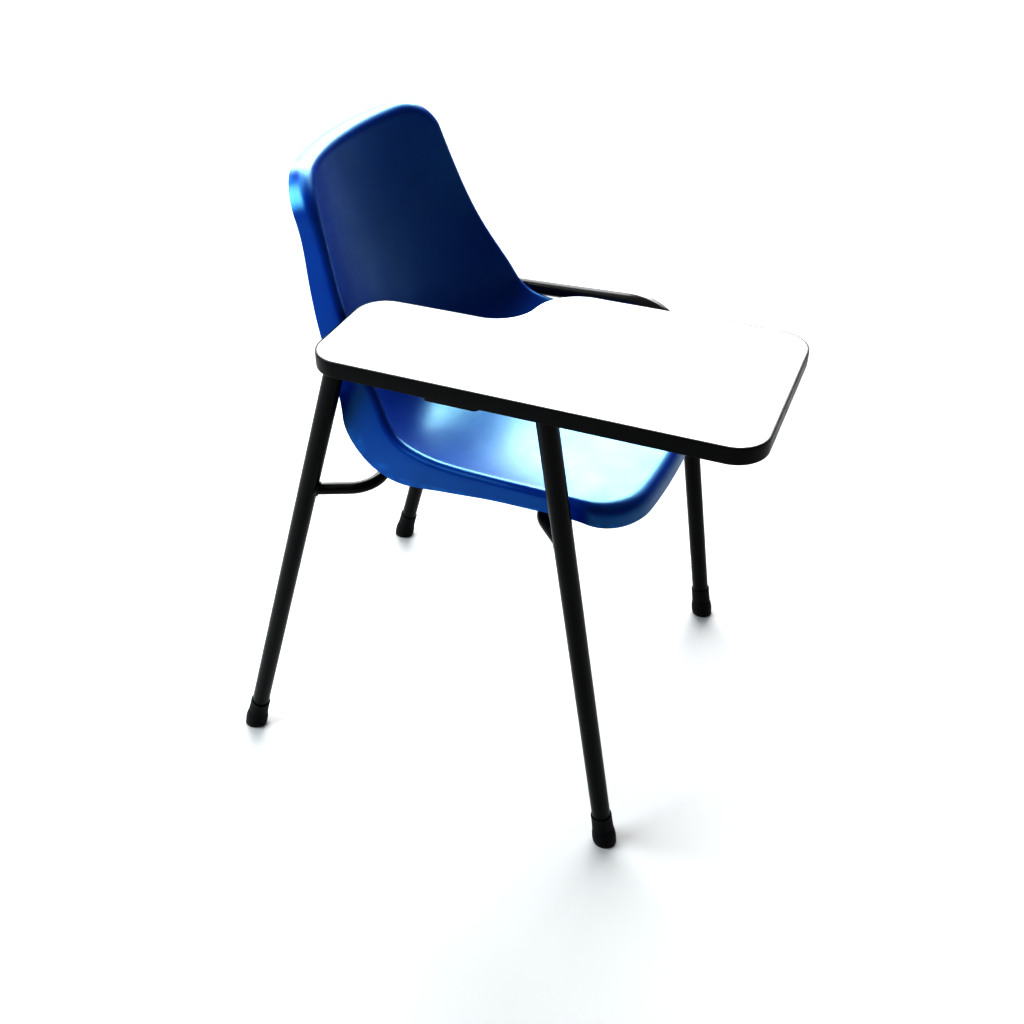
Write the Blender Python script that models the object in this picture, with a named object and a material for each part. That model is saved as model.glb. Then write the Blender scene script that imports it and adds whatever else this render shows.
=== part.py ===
# Student desk chair: moulded bucket seat on a tubular steel frame, with a
# fixed writing tablet on the sitter's right.
# Metres, +Z up, the sitter faces -Y, the sitter's right hand is -X.
# Origin: on the floor, under the middle of the chair's bounding box.
import bpy
import bmesh
import math
import numpy as np
from mathutils import Vector, Matrix

# ---------------------------------------------------------------- dimensions
GAP = 0.0003                     # clearance kept between touching pieces

# tubular frame
TUBE_OD = 0.0222                 # leg tube, 7/8 in
TUBE_WALL = 0.0015
BAR_OD = 0.0140                  # seat bar
BAR_WALL = 0.0016
FOOT_X = 0.2290                  # half the foot track
FOOT_Y = 0.2525                  # half the foot wheelbase
TOP_Z = 0.6130                   # reference height of the leg lines
FRONT_TOP = (0.2300, -0.1603)    # |x|, y of a front leg line at TOP_Z
REAR_TOP = (0.2050, 0.0770)      # |x|, y of a rear leg line at TOP_Z
ARM_Z = 0.4985                   # centre height of the low side rail
ARM_BEND = 0.088                 # centre-line bend radius of the side frame

# foot tips
TIP_COLLAR_R = 0.0128
TIP_BULB_R = 0.0146
TIP_LEN = 0.046
TIP_FLOOR = 0.009                # rubber under the tube end

# writing tablet (outline in plan)
TABLET_TOP = 0.6287
TABLET_T = 0.0182
TABLET_X0 = -0.2665              # outer long edge
TABLET_XN = -0.1215              # inner edge of the narrow part
TABLET_XW = -0.0350              # inner edge of the wide part
TABLET_YF = -0.3780              # front edge
TABLET_YR = 0.0850               # rear edge
TABLET_STEP_Y = -0.0935          # middle of the S-shaped step
TABLET_R = 0.034                 # corner radius
BAND_T = 0.0020                  # edge band thickness
SKIN_T = 0.0009                  # laminate thickness

# tablet carrier
PLATE_T = 0.0030
STRAP_W = 0.0240

# seat shell
SHELL_T = 0.0042
# side rim stations from the front lip to the top of the back: y, z, half width
RIM = ((-0.2300, 0.4765, 0.1860),
       (-0.1850, 0.4790, 0.1920),
       (-0.1250, 0.4835, 0.1960),
       (-0.0500, 0.4865, 0.1970),
       (-0.0080, 0.4915, 0.1950),
       (0.0200, 0.5010, 0.1905),
       (0.0370, 0.5190, 0.1855),
       (0.0520, 0.5480, 0.1790),
       (0.0880, 0.6150, 0.1650),
       (0.1175, 0.7000, 0.1475),
       (0.1346, 0.7525, 0.1355))
# centre line stations at the same places: y, z
MID = ((-0.2400, 0.4685),
       (-0.1900, 0.4660),
       (-0.1280, 0.4590),
       (-0.0500, 0.4520),
       (0.0120, 0.4490),
       (0.0560, 0.4610),
       (0.0860, 0.4920),
       (0.1050, 0.5400),
       (0.1280, 0.6150),
       (0.1540, 0.7000),
       (0.1672, 0.7515))
SEC_SEAT = 2.7                   # exponent of the dished seat section
SEC_BACK = 2.1                   # exponent of the back section
CORNER_T = 0.26                  # plan corner size, part of the half width
CORNER_S = 0.058                 # plan corner size, part of the length
FOLD_R_SIDE = 0.0075             # radius of the rim fold at the sides
FOLD_R_FRONT = 0.016             # at the front lip
FOLD_R_TOP = 0.013               # at the top of the back
# straight depth of the flange beyond the fold: place along the rim (0 front, 1 top), depth
FLANGE = ((0.00, 0.0100), (0.12, 0.0150), (0.25, 0.0175), (0.36, 0.0250), (0.46, 0.0410),
          (0.56, 0.0440), (0.66, 0.0310), (0.85, 0.0200), (1.00, 0.0110))
FLANGE_FLARE = math.radians(5.0)

BOSS_R = 0.0125
BOSS_SEATS = ((0.098, -0.124), (0.080, 0.043))   # |x|, y of the front and rear bosses

BOSS_DROP = {"front": 0.0085, "rear": 0.0238}         # boss length under the shell

OBJECTS = []


# ------------------------------------------------------------------ helpers
def clear_scene():
    for ob in list(bpy.data.objects):
        bpy.data.objects.remove(ob, do_unlink=True)


def material(name, color, rough, metal=0.0):
    mat = bpy.data.materials.new(name)
    mat.use_nodes = True
    bsdf = mat.node_tree.nodes["Principled BSDF"]
    bsdf.inputs["Base Color"].default_value = (*color, 1.0)
    bsdf.inputs["Roughness"].default_value = rough
    bsdf.inputs["Metallic"].default_value = metal
    return mat


def add_mesh(name, bm, mat, smooth=True, angle=35.0):
    bmesh.ops.recalc_face_normals(bm, faces=bm.faces)
    mesh = bpy.data.meshes.new(name)
    bm.to_mesh(mesh)
    bm.free()
    ob = bpy.data.objects.new(name, mesh)
    bpy.context.scene.collection.objects.link(ob)
    mesh.materials.append(mat)
    if smooth:
        mesh.shade_smooth()
        mesh.set_sharp_from_angle(angle=math.radians(angle))
    OBJECTS.append(ob)
    return ob


def cutter(name, bm):
    bmesh.ops.recalc_face_normals(bm, faces=bm.faces)
    mesh = bpy.data.meshes.new(name)
    bm.to_mesh(mesh)
    bm.free()
    ob = bpy.data.objects.new(name, mesh)
    bpy.context.scene.collection.objects.link(ob)
    ob.hide_render = True
    ob.display_type = 'WIRE'
    OBJECTS.append(ob)
    return ob


def boolean(ob, other, operation='DIFFERENCE'):
    mod = ob.modifiers.new(other.name, 'BOOLEAN')
    mod.operation = operation
    mod.solver = 'EXACT'
    mod.object = other


def frame_at(d):
    d = Vector(d).normalized()
    ref = Vector((1, 0, 0)) if abs(d.x) < 0.8 else Vector((0, 0, 1))
    u = d.cross(ref).normalized()
    v = d.cross(u).normalized()
    return u, v


def sweep_tube(points, radius, inner=None, sides=20, end_n=None, end_p=None):
    """Tube along a path, solid or with an open bore.  The last ring can be
    slid along the path on to the plane through end_p with normal end_n."""
    pts = [Vector(p) for p in points]
    n = len(pts)
    tang = []
    for i in range(n):
        a = pts[max(i - 1, 0)]
        b = pts[min(i + 1, n - 1)]
        tang.append((b - a).normalized())
    u, v = frame_at(tang[0])
    frames = [(u, v)]
    for i in range(1, n):
        q = tang[i - 1].rotation_difference(tang[i])
        u = (q @ frames[-1][0]).normalized()
        u = (u - tang[i] * u.dot(tang[i])).normalized()
        frames.append((u, tang[i].cross(u).normalized()))
    bm = bmesh.new()
    walls = []
    for r in ([radius] if inner is None else [radius, inner]):
        rings = []
        for i, p in enumerate(pts):
            u, v = frames[i]
            ring = []
            for k in range(sides):
                a = 2 * math.pi * k / sides
                co = p + u * (r * math.cos(a)) + v * (r * math.sin(a))
                if i == n - 1 and end_n is not None:
                    m = Vector(end_n)
                    co = co + tang[-1] * ((Vector(end_p) - co).dot(m) / tang[-1].dot(m))
                ring.append(bm.verts.new(co))
            rings.append(ring)
        walls.append(rings)
        for i in range(n - 1):
            for k in range(sides):
                k2 = (k + 1) % sides
                bm.faces.new((rings[i][k], rings[i][k2], rings[i + 1][k2], rings[i + 1][k]))
    if inner is None:
        bm.faces.new(walls[0][0][::-1])
        bm.faces.new(walls[0][-1])
    else:
        for e in (0, -1):
            for k in range(sides):
                k2 = (k + 1) % sides
                bm.faces.new((walls[0][e][k], walls[0][e][k2], walls[1][e][k2], walls[1][e][k]))
    return bm


def lathe(profile, sides):
    """Closed body turned about Z from (radius, z) pairs, axis ends at radius 0."""
    bm = bmesh.new()
    rings = []
    for r, z in profile:
        if r <= 1e-9:
            rings.append([bm.verts.new((0, 0, z))])
        else:
            rings.append([bm.verts.new((r * math.cos(2 * math.pi * k / sides),
                                        r * math.sin(2 * math.pi * k / sides), z)) for k in range(sides)])
    closed = len(rings[0]) > 1
    pairs = list(zip(rings[:-1], rings[1:])) + ([(rings[-1], rings[0])] if closed else [])
    for a, b in pairs:
        for k in range(sides):
            k2 = (k + 1) % sides
            if len(a) == 1:
                bm.faces.new((a[0], b[k2], b[k]))
            elif len(b) == 1:
                bm.faces.new((a[k], a[k2], b[0]))
            else:
                bm.faces.new((a[k], a[k2], b[k2], b[k]))
    return bm


def prism(outline, z0, z1):
    """Upright slab on a plan outline (counter-clockwise points)."""
    bm = bmesh.new()
    lo = [bm.verts.new((x, y, z0)) for x, y in outline]
    hi = [bm.verts.new((x, y, z1)) for x, y in outline]
    n = len(outline)
    bm.faces.new(lo[::-1])
    bm.faces.new(hi)
    for i in range(n):
        j = (i + 1) % n
        bm.faces.new((lo[i], lo[j], hi[j], hi[i]))
    return bm


def box_bm(x0, x1, y0, y1, z0, z1):
    return prism(((x0, y0), (x1, y0), (x1, y1), (x0, y1)), z0, z1)


def arc_pts(centre, radius, a0, a1, n):
    return [(centre[0] + radius * math.cos(math.radians(a0 + (a1 - a0) * i / n)),
             centre[1] + radius * math.sin(math.radians(a0 + (a1 - a0) * i / n))) for i in range(n + 1)]


def rounded_path(corners, radii, seg):
    """Poly-line through corners with each inner corner replaced by an arc."""
    pts = [Vector(corners[0])]
    for i in range(1, len(corners) - 1):
        p, a, b = Vector(corners[i]), Vector(corners[i - 1]), Vector(corners[i + 1])
        da, db = (a - p).normalized(), (b - p).normalized()
        half = da.angle(db) / 2
        r = radii[i - 1]
        t = r / math.tan(half)
        centre = p + (da + db).normalized() * (r / math.sin(half))
        s = p + da * t - centre
        e = p + db * t - centre
        axis = s.cross(e).normalized()
        ang = s.angle(e)
        for k in range(seg + 1):
            pts.append(centre + Matrix.Rotation(ang * k / seg, 3, axis) @ s)
    pts.append(Vector(corners[-1]))
    return pts


def leg_line(side, end, z):
    top = FRONT_TOP if end == 'front' else REAR_TOP
    foot_y = -FOOT_Y if end == 'front' else FOOT_Y
    k = z / TOP_Z
    return Vector((side * (FOOT_X + (top[0] - FOOT_X) * k), foot_y + (top[1] - foot_y) * k, z))


# ------------------------------------------------------------ tablet outline
def tablet_outline(inset, seg=6):
    """Plan outline, counter-clockwise, offset inwards by inset."""
    x0, xn, xw = TABLET_X0 + inset, TABLET_XN - inset, TABLET_XW - inset
    yf, yr = TABLET_YF + inset, TABLET_YR - inset
    r = TABLET_R - inset
    pts = []
    pts += arc_pts((x0 + r, yf + r), r, 180, 270, seg)
    pts += arc_pts((xw - r, yf + r), r, 270, 360, seg)
    # S-shaped step: two arcs, the first convex, the second hollow
    r1, r2 = 0.052 - inset, 0.046 + inset
    cx1 = xw - r1
    cx2 = xn + r2
    dx = cx1 - cx2
    dist = r1 + r2
    dy = math.sqrt(max(dist * dist - dx * dx, 1e-8))
    ym = TABLET_STEP_Y
    c1 = (cx1, ym - dy * r1 / dist - 0.0)
    c2 = (cx2, ym + dy * r2 / dist)
    ang = math.degrees(math.atan2(c2[1] - c1[1], c2[0] - c1[0]))
    pts += arc_pts(c1, r1, 0, ang, seg)
    pts += arc_pts(c2, r2, ang - 180 + 360, 180, seg)[1:]
    pts += arc_pts((xn - r, yr - r), r, 0, 90, seg)
    pts += arc_pts((x0 + r, yr - r), r, 90, 180, seg)
    return pts


# ---------------------------------------------------------------- seat shell
def smooth_curve(table):
    """Natural parameter spline through the stations, parameter 0..1 by index."""
    data = np.array(table, float)
    n = len(data)
    a = np.zeros((n, n))
    b = np.zeros((n, data.shape[1]))
    a[0, 0] = a[-1, -1] = 1.0
    for i in range(1, n - 1):
        a[i, i - 1:i + 2] = (1.0, 4.0, 1.0)
        b[i] = 6.0 * (data[i + 1] - 2 * data[i] + data[i - 1])
    m = np.linalg.solve(a, b)

    def f(s):
        x = min(max(s, 0.0), 1.0) * (n - 1)
        i = min(int(x), n - 2)
        u = x - i
        w = 1.0 - u
        return (data[i] * w + data[i + 1] * u
                + m[i] * (w ** 3 - w) / 6.0 + m[i + 1] * (u ** 3 - u) / 6.0)
    return f


RIM_F = smooth_curve(RIM)
MID_F = smooth_curve(MID)
# parameter as a function of rim arc length
_S = np.linspace(0, 1, 401)
_L = np.array([0.5 * (RIM_F(s)[:2] + MID_F(s)) for s in _S])
_L = np.concatenate([[0], np.cumsum(np.linalg.norm(np.diff(_L, axis=0), axis=1))])
_L = _L / _L[-1]


def shell_surface(t, l):
    """Sitter-side surface: t across (-1..1), l along (0 front .. 1 top)."""
    s = float(np.interp(l, _L, _S))
    ry, rz, w = RIM_F(s)
    my, mz = MID_F(s)
    k = min(max((s - 0.35) / 0.3, 0.0), 1.0)
    k = k * k * (3 - 2 * k)
    e = SEC_SEAT + (SEC_BACK - SEC_SEAT) * k
    f = 1.0 - abs(t) ** e
    return np.array((w * t, ry + (my - ry) * f, rz + (mz - rz) * f))


def shell_domain(a, b):
    """Square (-1..1)^2 on to the round-cornered (t, l) domain."""
    ct, cs = CORNER_T, CORNER_S

    def side_pt(v):              # v -1..1 along the right edge, from corner middle to corner middle
        x = (v + 1) / 2
        q = 0.10                 # share of the edge's points that the half corner takes
        if x < q:
            g = x / q
            an = math.radians(-45 + 45 * g)
            return 1 - ct + ct * math.cos(an), cs + cs * math.sin(an)
        if x > 1 - q:
            g = (x - 1 + q) / q
            an = math.radians(45 * g)
            return 1 - ct + ct * math.cos(an), 1 - cs + cs * math.sin(an)
        g = (x - q) / (1 - 2 * q)
        return 1.0, cs + (1 - 2 * cs) * g

    def end_pt(v, top):          # v -1..1 along the front or top edge
        q = 0.13
        x = (v + 1) / 2
        if x < q:
            g = x / q
            an = math.radians(45 * (1 - g))
            t, c = -(1 - ct + ct * math.sin(an)), cs - cs * math.cos(an)
        elif x > 1 - q:
            g = (x - 1 + q) / q
            an = math.radians(45 * g)
            t, c = 1 - ct + ct * math.sin(an), cs - cs * math.cos(an)
        else:
            g = (x - q) / (1 - 2 * q)
            t, c = -(1 - ct) + 2 * (1 - ct) * g, 0.0
        return t, (1 - c) if top else c

    rt = np.array(side_pt(b))
    lt = np.array((-rt[0], rt[1]))
    bt = np.array(end_pt(a, False))
    tp = np.array(end_pt(a, True))
    u, v = (a + 1) / 2, (b + 1) / 2
    c = math.sqrt(0.5)
    k0 = np.array((1 - ct + ct * c, cs - cs * c))
    k1 = np.array((1 - ct + ct * c, 1 - cs + cs * c))
    corners = ((1 - u) * (1 - v) * np.array((-k0[0], k0[1])) + u * (1 - v) * k0
               + (1 - u) * v * np.array((-k1[0], k1[1])) + u * v * k1)
    return (1 - v) * bt + v * tp + (1 - u) * lt + u * rt - corners


def fall_direction(l):
    """Direction in which the rim flange runs: down at the seat, rearwards at the back."""
    s = float(np.interp(l, _L, _S))
    h = 0.012
    p, q = RIM_F(min(s + h, 1.0)), RIM_F(max(s - h, 0.0))
    ty, tz = p[0] - q[0], p[1] - q[1]
    n = math.hypot(ty, tz)
    return np.array((0.0, tz / n, -ty / n))


def shell_bm(na, nb, nf, ns):
    """Open sitter-side surface with its folded flange; the wall thickness is added after."""
    bm = bmesh.new()
    grid = []
    dom = []
    for j in range(nb + 1):
        row, drow = [], []
        for i in range(na + 1):
            t, l = shell_domain(-1 + 2 * i / na, -1 + 2 * j / nb)
            drow.append((t, l))
            row.append(bm.verts.new(shell_surface(t, l)))
        grid.append(row)
        dom.append(drow)
    for j in range(nb):
        for i in range(na):
            bm.faces.new((grid[j][i], grid[j][i + 1], grid[j + 1][i + 1], grid[j + 1][i]))
    loop = ([(0, i) for i in range(na)] + [(j, na) for j in range(nb)]
            + [(nb, i) for i in range(na, 0, -1)] + [(j, 0) for j in range(nb, 0, -1)])
    n = len(loop)
    pos = [np.array(grid[j][i].co) for j, i in loop]
    uv = [dom[j][i] for j, i in loop]
    # frames along the rim
    out, nor, tan = [], [], []
    for k in range(n):
        tg = pos[(k + 1) % n] - pos[k - 1]
        tg /= np.linalg.norm(tg)
        t, l = uv[k]
        e = 1e-3
        # surface normal from inside the domain
        ti, li = t * (1 - 0.004), min(max(l, 0.004), 0.996)
        du = shell_surface(ti + e, li) - shell_surface(ti - e, li)
        dv = shell_surface(ti, min(li + e, 1)) - shell_surface(ti, max(li - e, 0))
        nn = np.cross(du, dv)
        nn /= np.linalg.norm(nn)
        nn -= tg * nn.dot(tg)
        nn /= np.linalg.norm(nn)
        o = np.cross(tg, nn)
        tan.append(tg)
        nor.append(nn)
        out.append(o / np.linalg.norm(o))
    # smooth the frames a little round the loop
    for _ in range(3):
        nor = [(nor[k - 1] + 2 * nor[k] + nor[(k + 1) % n]) for k in range(n)]
        nor = [v / np.linalg.norm(v) for v in nor]
    for k in range(n):
        nor[k] = nor[k] - tan[k] * nor[k].dot(tan[k])
        nor[k] /= np.linalg.norm(nor[k])
        out[k] = np.cross(tan[k], nor[k])
    fall = [fall_direction(uv[k][1]) for k in range(n)]
    rings = [[grid[j][i] for j, i in loop]]
    rad, dep = [], []
    for k in range(n):
        t, l = uv[k]
        ft = max(0.0, 1 - l / 0.10)
        tp = max(0.0, 1 - (1 - l) / 0.10)
        ft, tp = ft * ft * (3 - 2 * ft), tp * tp * (3 - 2 * tp)
        r = FOLD_R_SIDE * (1 - ft) * (1 - tp) + FOLD_R_FRONT * ft + FOLD_R_TOP * tp
        rad.append(r)
        dep.append(float(np.interp(l, [q[0] for q in FLANGE], [q[1] for q in FLANGE])))
    for _ in range(4):
        rad = [(rad[k - 1] + 2 * rad[k] + rad[(k + 1) % n]) / 4 for k in range(n)]
        dep = [(dep[k - 1] + 2 * dep[k] + dep[(k + 1) % n]) / 4 for k in range(n)]
    ends, dirs = [], []
    for f in range(1, nf + 1):
        ring = []
        for k in range(n):
            d = fall[k] - tan[k] * fall[k].dot(tan[k])
            d /= np.linalg.norm(d)
            lean = out[k] - d * out[k].dot(d)
            lean /= np.linalg.norm(lean)
            d = d * math.cos(FLANGE_FLARE) + lean * math.sin(FLANGE_FLARE)
            phi = math.atan2(-d.dot(nor[k]), d.dot(out[k])) * f / nf
            p = pos[k] + rad[k] * (math.sin(phi) * out[k] - (1 - math.cos(phi)) * nor[k])
            ring.append(bm.verts.new(p))
            if f == nf:
                ends.append(p)
                dirs.append(d)
        rings.append(ring)
    for f in range(1, ns + 1):
        rings.append([bm.verts.new(ends[k] + dirs[k] * dep[k] * f / ns) for k in range(n)])
    for a, b in zip(rings[:-1], rings[1:]):
        for k in range(n):
            k2 = (k + 1) % n
            bm.faces.new((a[k2], a[k], b[k], b[k2]))
    bm.normal_update()
    return bm


def thicken(bm, t):
    """Close the open surface into a wall of thickness t on its hidden side."""
    bm.normal_update()
    verts = list(bm.verts)
    faces = list(bm.faces)
    edges = [e for e in bm.edges if len(e.link_faces) == 1]
    twin = {}
    for v in verts:
        # mean normal, stretched so that the wall keeps its thickness over folds
        nn = v.normal.copy()
        c = min((nn.dot(f.normal) for f in v.link_faces), default=1.0)
        twin[v] = bm.verts.new(v.co - nn * t / max(c, 0.8))
    for f in faces:
        bm.faces.new([twin[v] for v in reversed(f.verts)])
    for e in edges:
        f = e.link_faces[0]
        a, b = e.verts
        vs = list(f.verts)
        ia = vs.index(a)
        if vs[(ia + 1) % len(vs)] is b:
            bm.faces.new((b, a, twin[a], twin[b]))
        else:
            bm.faces.new((a, b, twin[b], twin[a]))


def solve_l(y, t):
    """Length parameter at which the seat part of the surface passes plan point y."""
    lo, hi = 0.05, 0.55
    for _ in range(50):
        m = (lo + hi) / 2
        if shell_surface(t, m)[1] < y:
            lo = m
        else:
            hi = m
    return (lo + hi) / 2


def seat_height(x, y):
    """Sitter-side height of the seat at plan point x, y."""
    t = x / 0.197
    for _ in range(20):
        l = solve_l(y, t)
        s = float(np.interp(l, _L, _S))
        t = x / RIM_F(s)[2]
    return shell_surface(t, solve_l(y, t))[2]


# ==================================================================== build
clear_scene()

POLY = material("moulded_polypropylene_blue", (0.004, 0.10, 0.62), 0.34)
STEEL = material("powder_coated_steel_black", (0.012, 0.012, 0.014), 0.38, 0.0)
RUBBER = material("black_rubber", (0.010, 0.010, 0.011), 0.62)
LAMINATE = material("white_laminate", (0.88, 0.93, 0.94), 0.28)
BACKER = material("backing_laminate_grey", (0.55, 0.56, 0.56), 0.5)
BOARD = material("particle_board", (0.52, 0.38, 0.22), 0.8)
BAND = material("black_edge_band", (0.010, 0.010, 0.012), 0.4)
ZINC = material("zinc_plated_steel", (0.62, 0.62, 0.60), 0.35, 1.0)
BRASS = material("brass", (0.70, 0.50, 0.20), 0.35, 1.0)

# ---- seat shell ------------------------------------------------------------
bm = shell_bm(16, 26, 3, 1)
thicken(bm, SHELL_T)
shell = add_mesh("seat_shell", bm, POLY, angle=50)

FRONT_BOSS, REAR_BOSS = BOSS_SEATS
BOSS_Z = {}
for (bx, by), tag in ((FRONT_BOSS, "front"), (REAR_BOSS, "rear")):
    BOSS_Z[tag] = seat_height(bx, by) - SHELL_T - BOSS_DROP[tag]
INSERT_L = 0.0080
INSERT_R = 0.0045
for sx, side in ((-1, "right"), (1, "left")):
    for (bx, by), tag in ((FRONT_BOSS, "front"), (REAR_BOSS, "rear")):
        zb = BOSS_Z[tag]
        zt = seat_height(bx, by) - SHELL_T * 0.5
        bm = lathe(((0, zb), (BOSS_R, zb), (BOSS_R + 0.0012, zt), (0, zt)), 20)
        bmesh.ops.translate(bm, verts=bm.verts, vec=(sx * bx, by, 0))
        for v in bm.verts:                       # the top follows the middle of the shell's wall
            if v.co.z > zt - 1e-6:
                v.co.z = seat_height(abs(v.co.x), v.co.y) - SHELL_T * 0.5
        boolean(shell, cutter("add_boss_%s_%s" % (tag, side), bm), 'UNION')
        bm = lathe(((0, zb - 0.004), (INSERT_R + GAP, zb - 0.004),
                    (INSERT_R + GAP, zb + INSERT_L + GAP), (0, zb + INSERT_L + GAP)), 16)
        bmesh.ops.translate(bm, verts=bm.verts, vec=(sx * bx, by, 0))
        boolean(shell, cutter("cut_insert_%s_%s" % (tag, side), bm), 'DIFFERENCE')
        # threaded insert pressed into the boss
        r_bolt = 0.0030
        bm = lathe(((r_bolt + GAP, zb), (INSERT_R, zb), (INSERT_R, zb + INSERT_L),
                    (r_bolt + GAP, zb + INSERT_L)), 16)
        bmesh.ops.translate(bm, verts=bm.verts, vec=(sx * bx, by, 0))
        add_mesh("seat_insert_%s_%s" % (tag, side), bm, BRASS)

# ---- tube frame --------------------------------------------------------------
TUBE_R = TUBE_OD / 2
BAR_R = BAR_OD / 2
BOARD_BOTTOM = TABLET_TOP - TABLET_T
PLATE_TOP = BOARD_BOTTOM - GAP
STRAP_TOP = PLATE_TOP - PLATE_T - GAP
LEG_TOP = STRAP_TOP - PLATE_T - GAP


def tube_foot(side, end):
    """Lower end of the tube inside the foot tip, on the leg line."""
    p0, p1 = leg_line(side, end, 0.0), leg_line(side, end, 0.1)
    d = (p1 - p0).normalized()
    return p0 + d * (TIP_FLOOR + 0.0016 + 2 * GAP + TUBE_R * math.tan(d.angle(Vector((0, 0, 1))))), d


for end, nm in (('front', "right_front_leg"), ('rear', "right_rear_leg")):
    p, d = tube_foot(-1, end)
    q = leg_line(-1, end, LEG_TOP)
    bm = sweep_tube([p, p.lerp(q, 0.5), q], TUBE_R, TUBE_R - TUBE_WALL, 18,
                    end_n=(0, 0, 1), end_p=(0, 0, LEG_TOP))
    add_mesh(nm, bm, STEEL)

pf, df = tube_foot(1, 'front')
pr, dr = tube_foot(1, 'rear')
arm_front = leg_line(1, 'front', ARM_Z)
arm_rear = leg_line(1, 'rear', ARM_Z)
path = rounded_path([pf, arm_front, arm_rear, pr], [ARM_BEND, ARM_BEND], 7)
add_mesh("left_side_frame", sweep_tube(path, TUBE_R, TUBE_R - TUBE_WALL, 18), STEEL)

# seat bars: bowed in plan, welded between the legs of each end; the bolts pass
# beside the bars, through saddle plates welded on top of them
BAR_FRONT_Z = 0.4385
BAR_REAR_Z = 0.4160
MOUNT_T = 0.0030
BOLT_OFFSET = 0.0190
BOLT_R = 0.0030


def bow(end, z_leg, z_mid, y_mid, x_run, radius):
    a = leg_line(-1, end, z_leg)
    b = leg_line(1, end, z_leg)
    c = Vector((-x_run, y_mid, z_mid))
    d = Vector((x_run, y_mid, z_mid))
    return rounded_path([a, c, d, b], [radius, radius], 5)


def rounded_box(cx, cy, hw, hl, r, seg=3):
    out = []
    for ox, oy, a0 in ((hw - r, hl - r, 0), (-hw + r, hl - r, 90), (-hw + r, -hl + r, 180), (hw - r, -hl + r, 270)):
        out += arc_pts((cx + ox, cy + oy), r, a0, a0 + 90, seg)
    return out


def rod_cutter(name, spots, r, z0, z1, sides=14):
    """Upright round cutters at the given plan points, as one guide object."""
    bm = bmesh.new()
    for x, y in spots:
        ring = [(x + r * math.cos(2 * math.pi * k / sides), y + r * math.sin(2 * math.pi * k / sides))
                for k in range(sides)]
        lo = [bm.verts.new((a, b, z0)) for a, b in ring]
        hi = [bm.verts.new((a, b, z1)) for a, b in ring]
        bm.faces.new(lo[::-1])
        bm.faces.new(hi)
        for k in range(sides):
            k2 = (k + 1) % sides
            bm.faces.new((lo[k], lo[k2], hi[k2], hi[k]))
    return cutter(name, bm)


def headed_pin(x, y, z_head, head_af, head_h, z_tip, r, hexagon):
    """Bolt or screw standing upright: head below z_head, round shank up to z_tip."""
    bm = bmesh.new()
    sides = 12

    def ring(rad, z, hx):
        out = []
        for k in range(sides):
            q = rad / math.cos(math.pi / 6) if hx and k % 2 == 0 else rad
            an = 2 * math.pi * k / sides
            out.append(bm.verts.new((x + q * math.cos(an), y + q * math.sin(an), z)))
        return out
    h = head_af / 2
    rings = [ring(h * 0.80, z_head - head_h, False), ring(h, z_head - head_h * 0.72, hexagon),
             ring(h, z_head, hexagon), ring(r, z_head, False), ring(r, z_tip - r * 0.7, False),
             ring(r * 0.45, z_tip, False)]
    bm.faces.new(rings[0][::-1])
    bm.faces.new(rings[-1])
    for a, b in zip(rings[:-1], rings[1:]):
        for k in range(sides):
            k2 = (k + 1) % sides
            bm.faces.new((a[k], a[k2], b[k2], b[k]))
    return bm


mid_z = {t: BOSS_Z[t] - GAP - MOUNT_T - GAP - BAR_R for t in ("front", "rear")}
bar_y = {"front": FRONT_BOSS[1] - BOLT_OFFSET, "rear": REAR_BOSS[1] + BOLT_OFFSET}
for nm, end, z_leg, run, rad in (("front_seat_bar", "front", BAR_FRONT_Z, 0.186, 0.036),
                                 ("rear_seat_bar", "rear", BAR_REAR_Z, 0.190, 0.034)):
    pth = bow(end, z_leg, mid_z[end], bar_y[end], run, rad)
    bar = add_mesh(nm, sweep_tube(pth, BAR_R, BAR_R - BAR_WALL, 12), STEEL)
    p, q = leg_line(-1, end, z_leg - 0.04), leg_line(-1, end, z_leg + 0.04)
    boolean(bar, cutter("cope_%s_right" % nm, sweep_tube([p, q], TUBE_R + GAP, None, 44)))
    boolean(bar, cutter("cope_%s_left" % nm, sweep_tube(path, TUBE_R + GAP, None, 18)))

WASHER_T = 0.0012
for sx, side in ((-1, "right"), (1, "left")):
    for (bx, by), tag, sgn in ((FRONT_BOSS, "front", -1), (REAR_BOSS, "rear", 1)):
        z1 = BOSS_Z[tag] - GAP
        z0 = z1 - MOUNT_T
        x = sx * bx
        cy = by + sgn * BOLT_OFFSET * 0.5
        plate = add_mesh("seat_mount_plate_%s_%s" % (tag, side),
                         prism(rounded_box(x, cy, 0.0140, 0.0215, 0.004), z0, z1), STEEL, angle=30)
        boolean(plate, rod_cutter("cut_plate_%s_%s" % (tag, side), [(x, by)], BOLT_R + GAP,
                                  z0 - 0.002, z1 + 0.002))
        bm = lathe(((BOLT_R + GAP, z0 - GAP - WASHER_T), (0.0062, z0 - GAP - WASHER_T),
                    (0.0062, z0 - GAP), (BOLT_R + GAP, z0 - GAP)), 16)
        bmesh.ops.translate(bm, verts=bm.verts, vec=(x, by, 0))
        add_mesh("seat_washer_%s_%s" % (tag, side), bm, ZINC, angle=30)
        add_mesh("seat_bolt_%s_%s" % (tag, side),
                 headed_pin(x, by, z0 - 2 * GAP - WASHER_T, 0.0100, 0.0042,
                            BOSS_Z[tag] + INSERT_L - 0.0006, BOLT_R, True), ZINC, angle=25)

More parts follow.
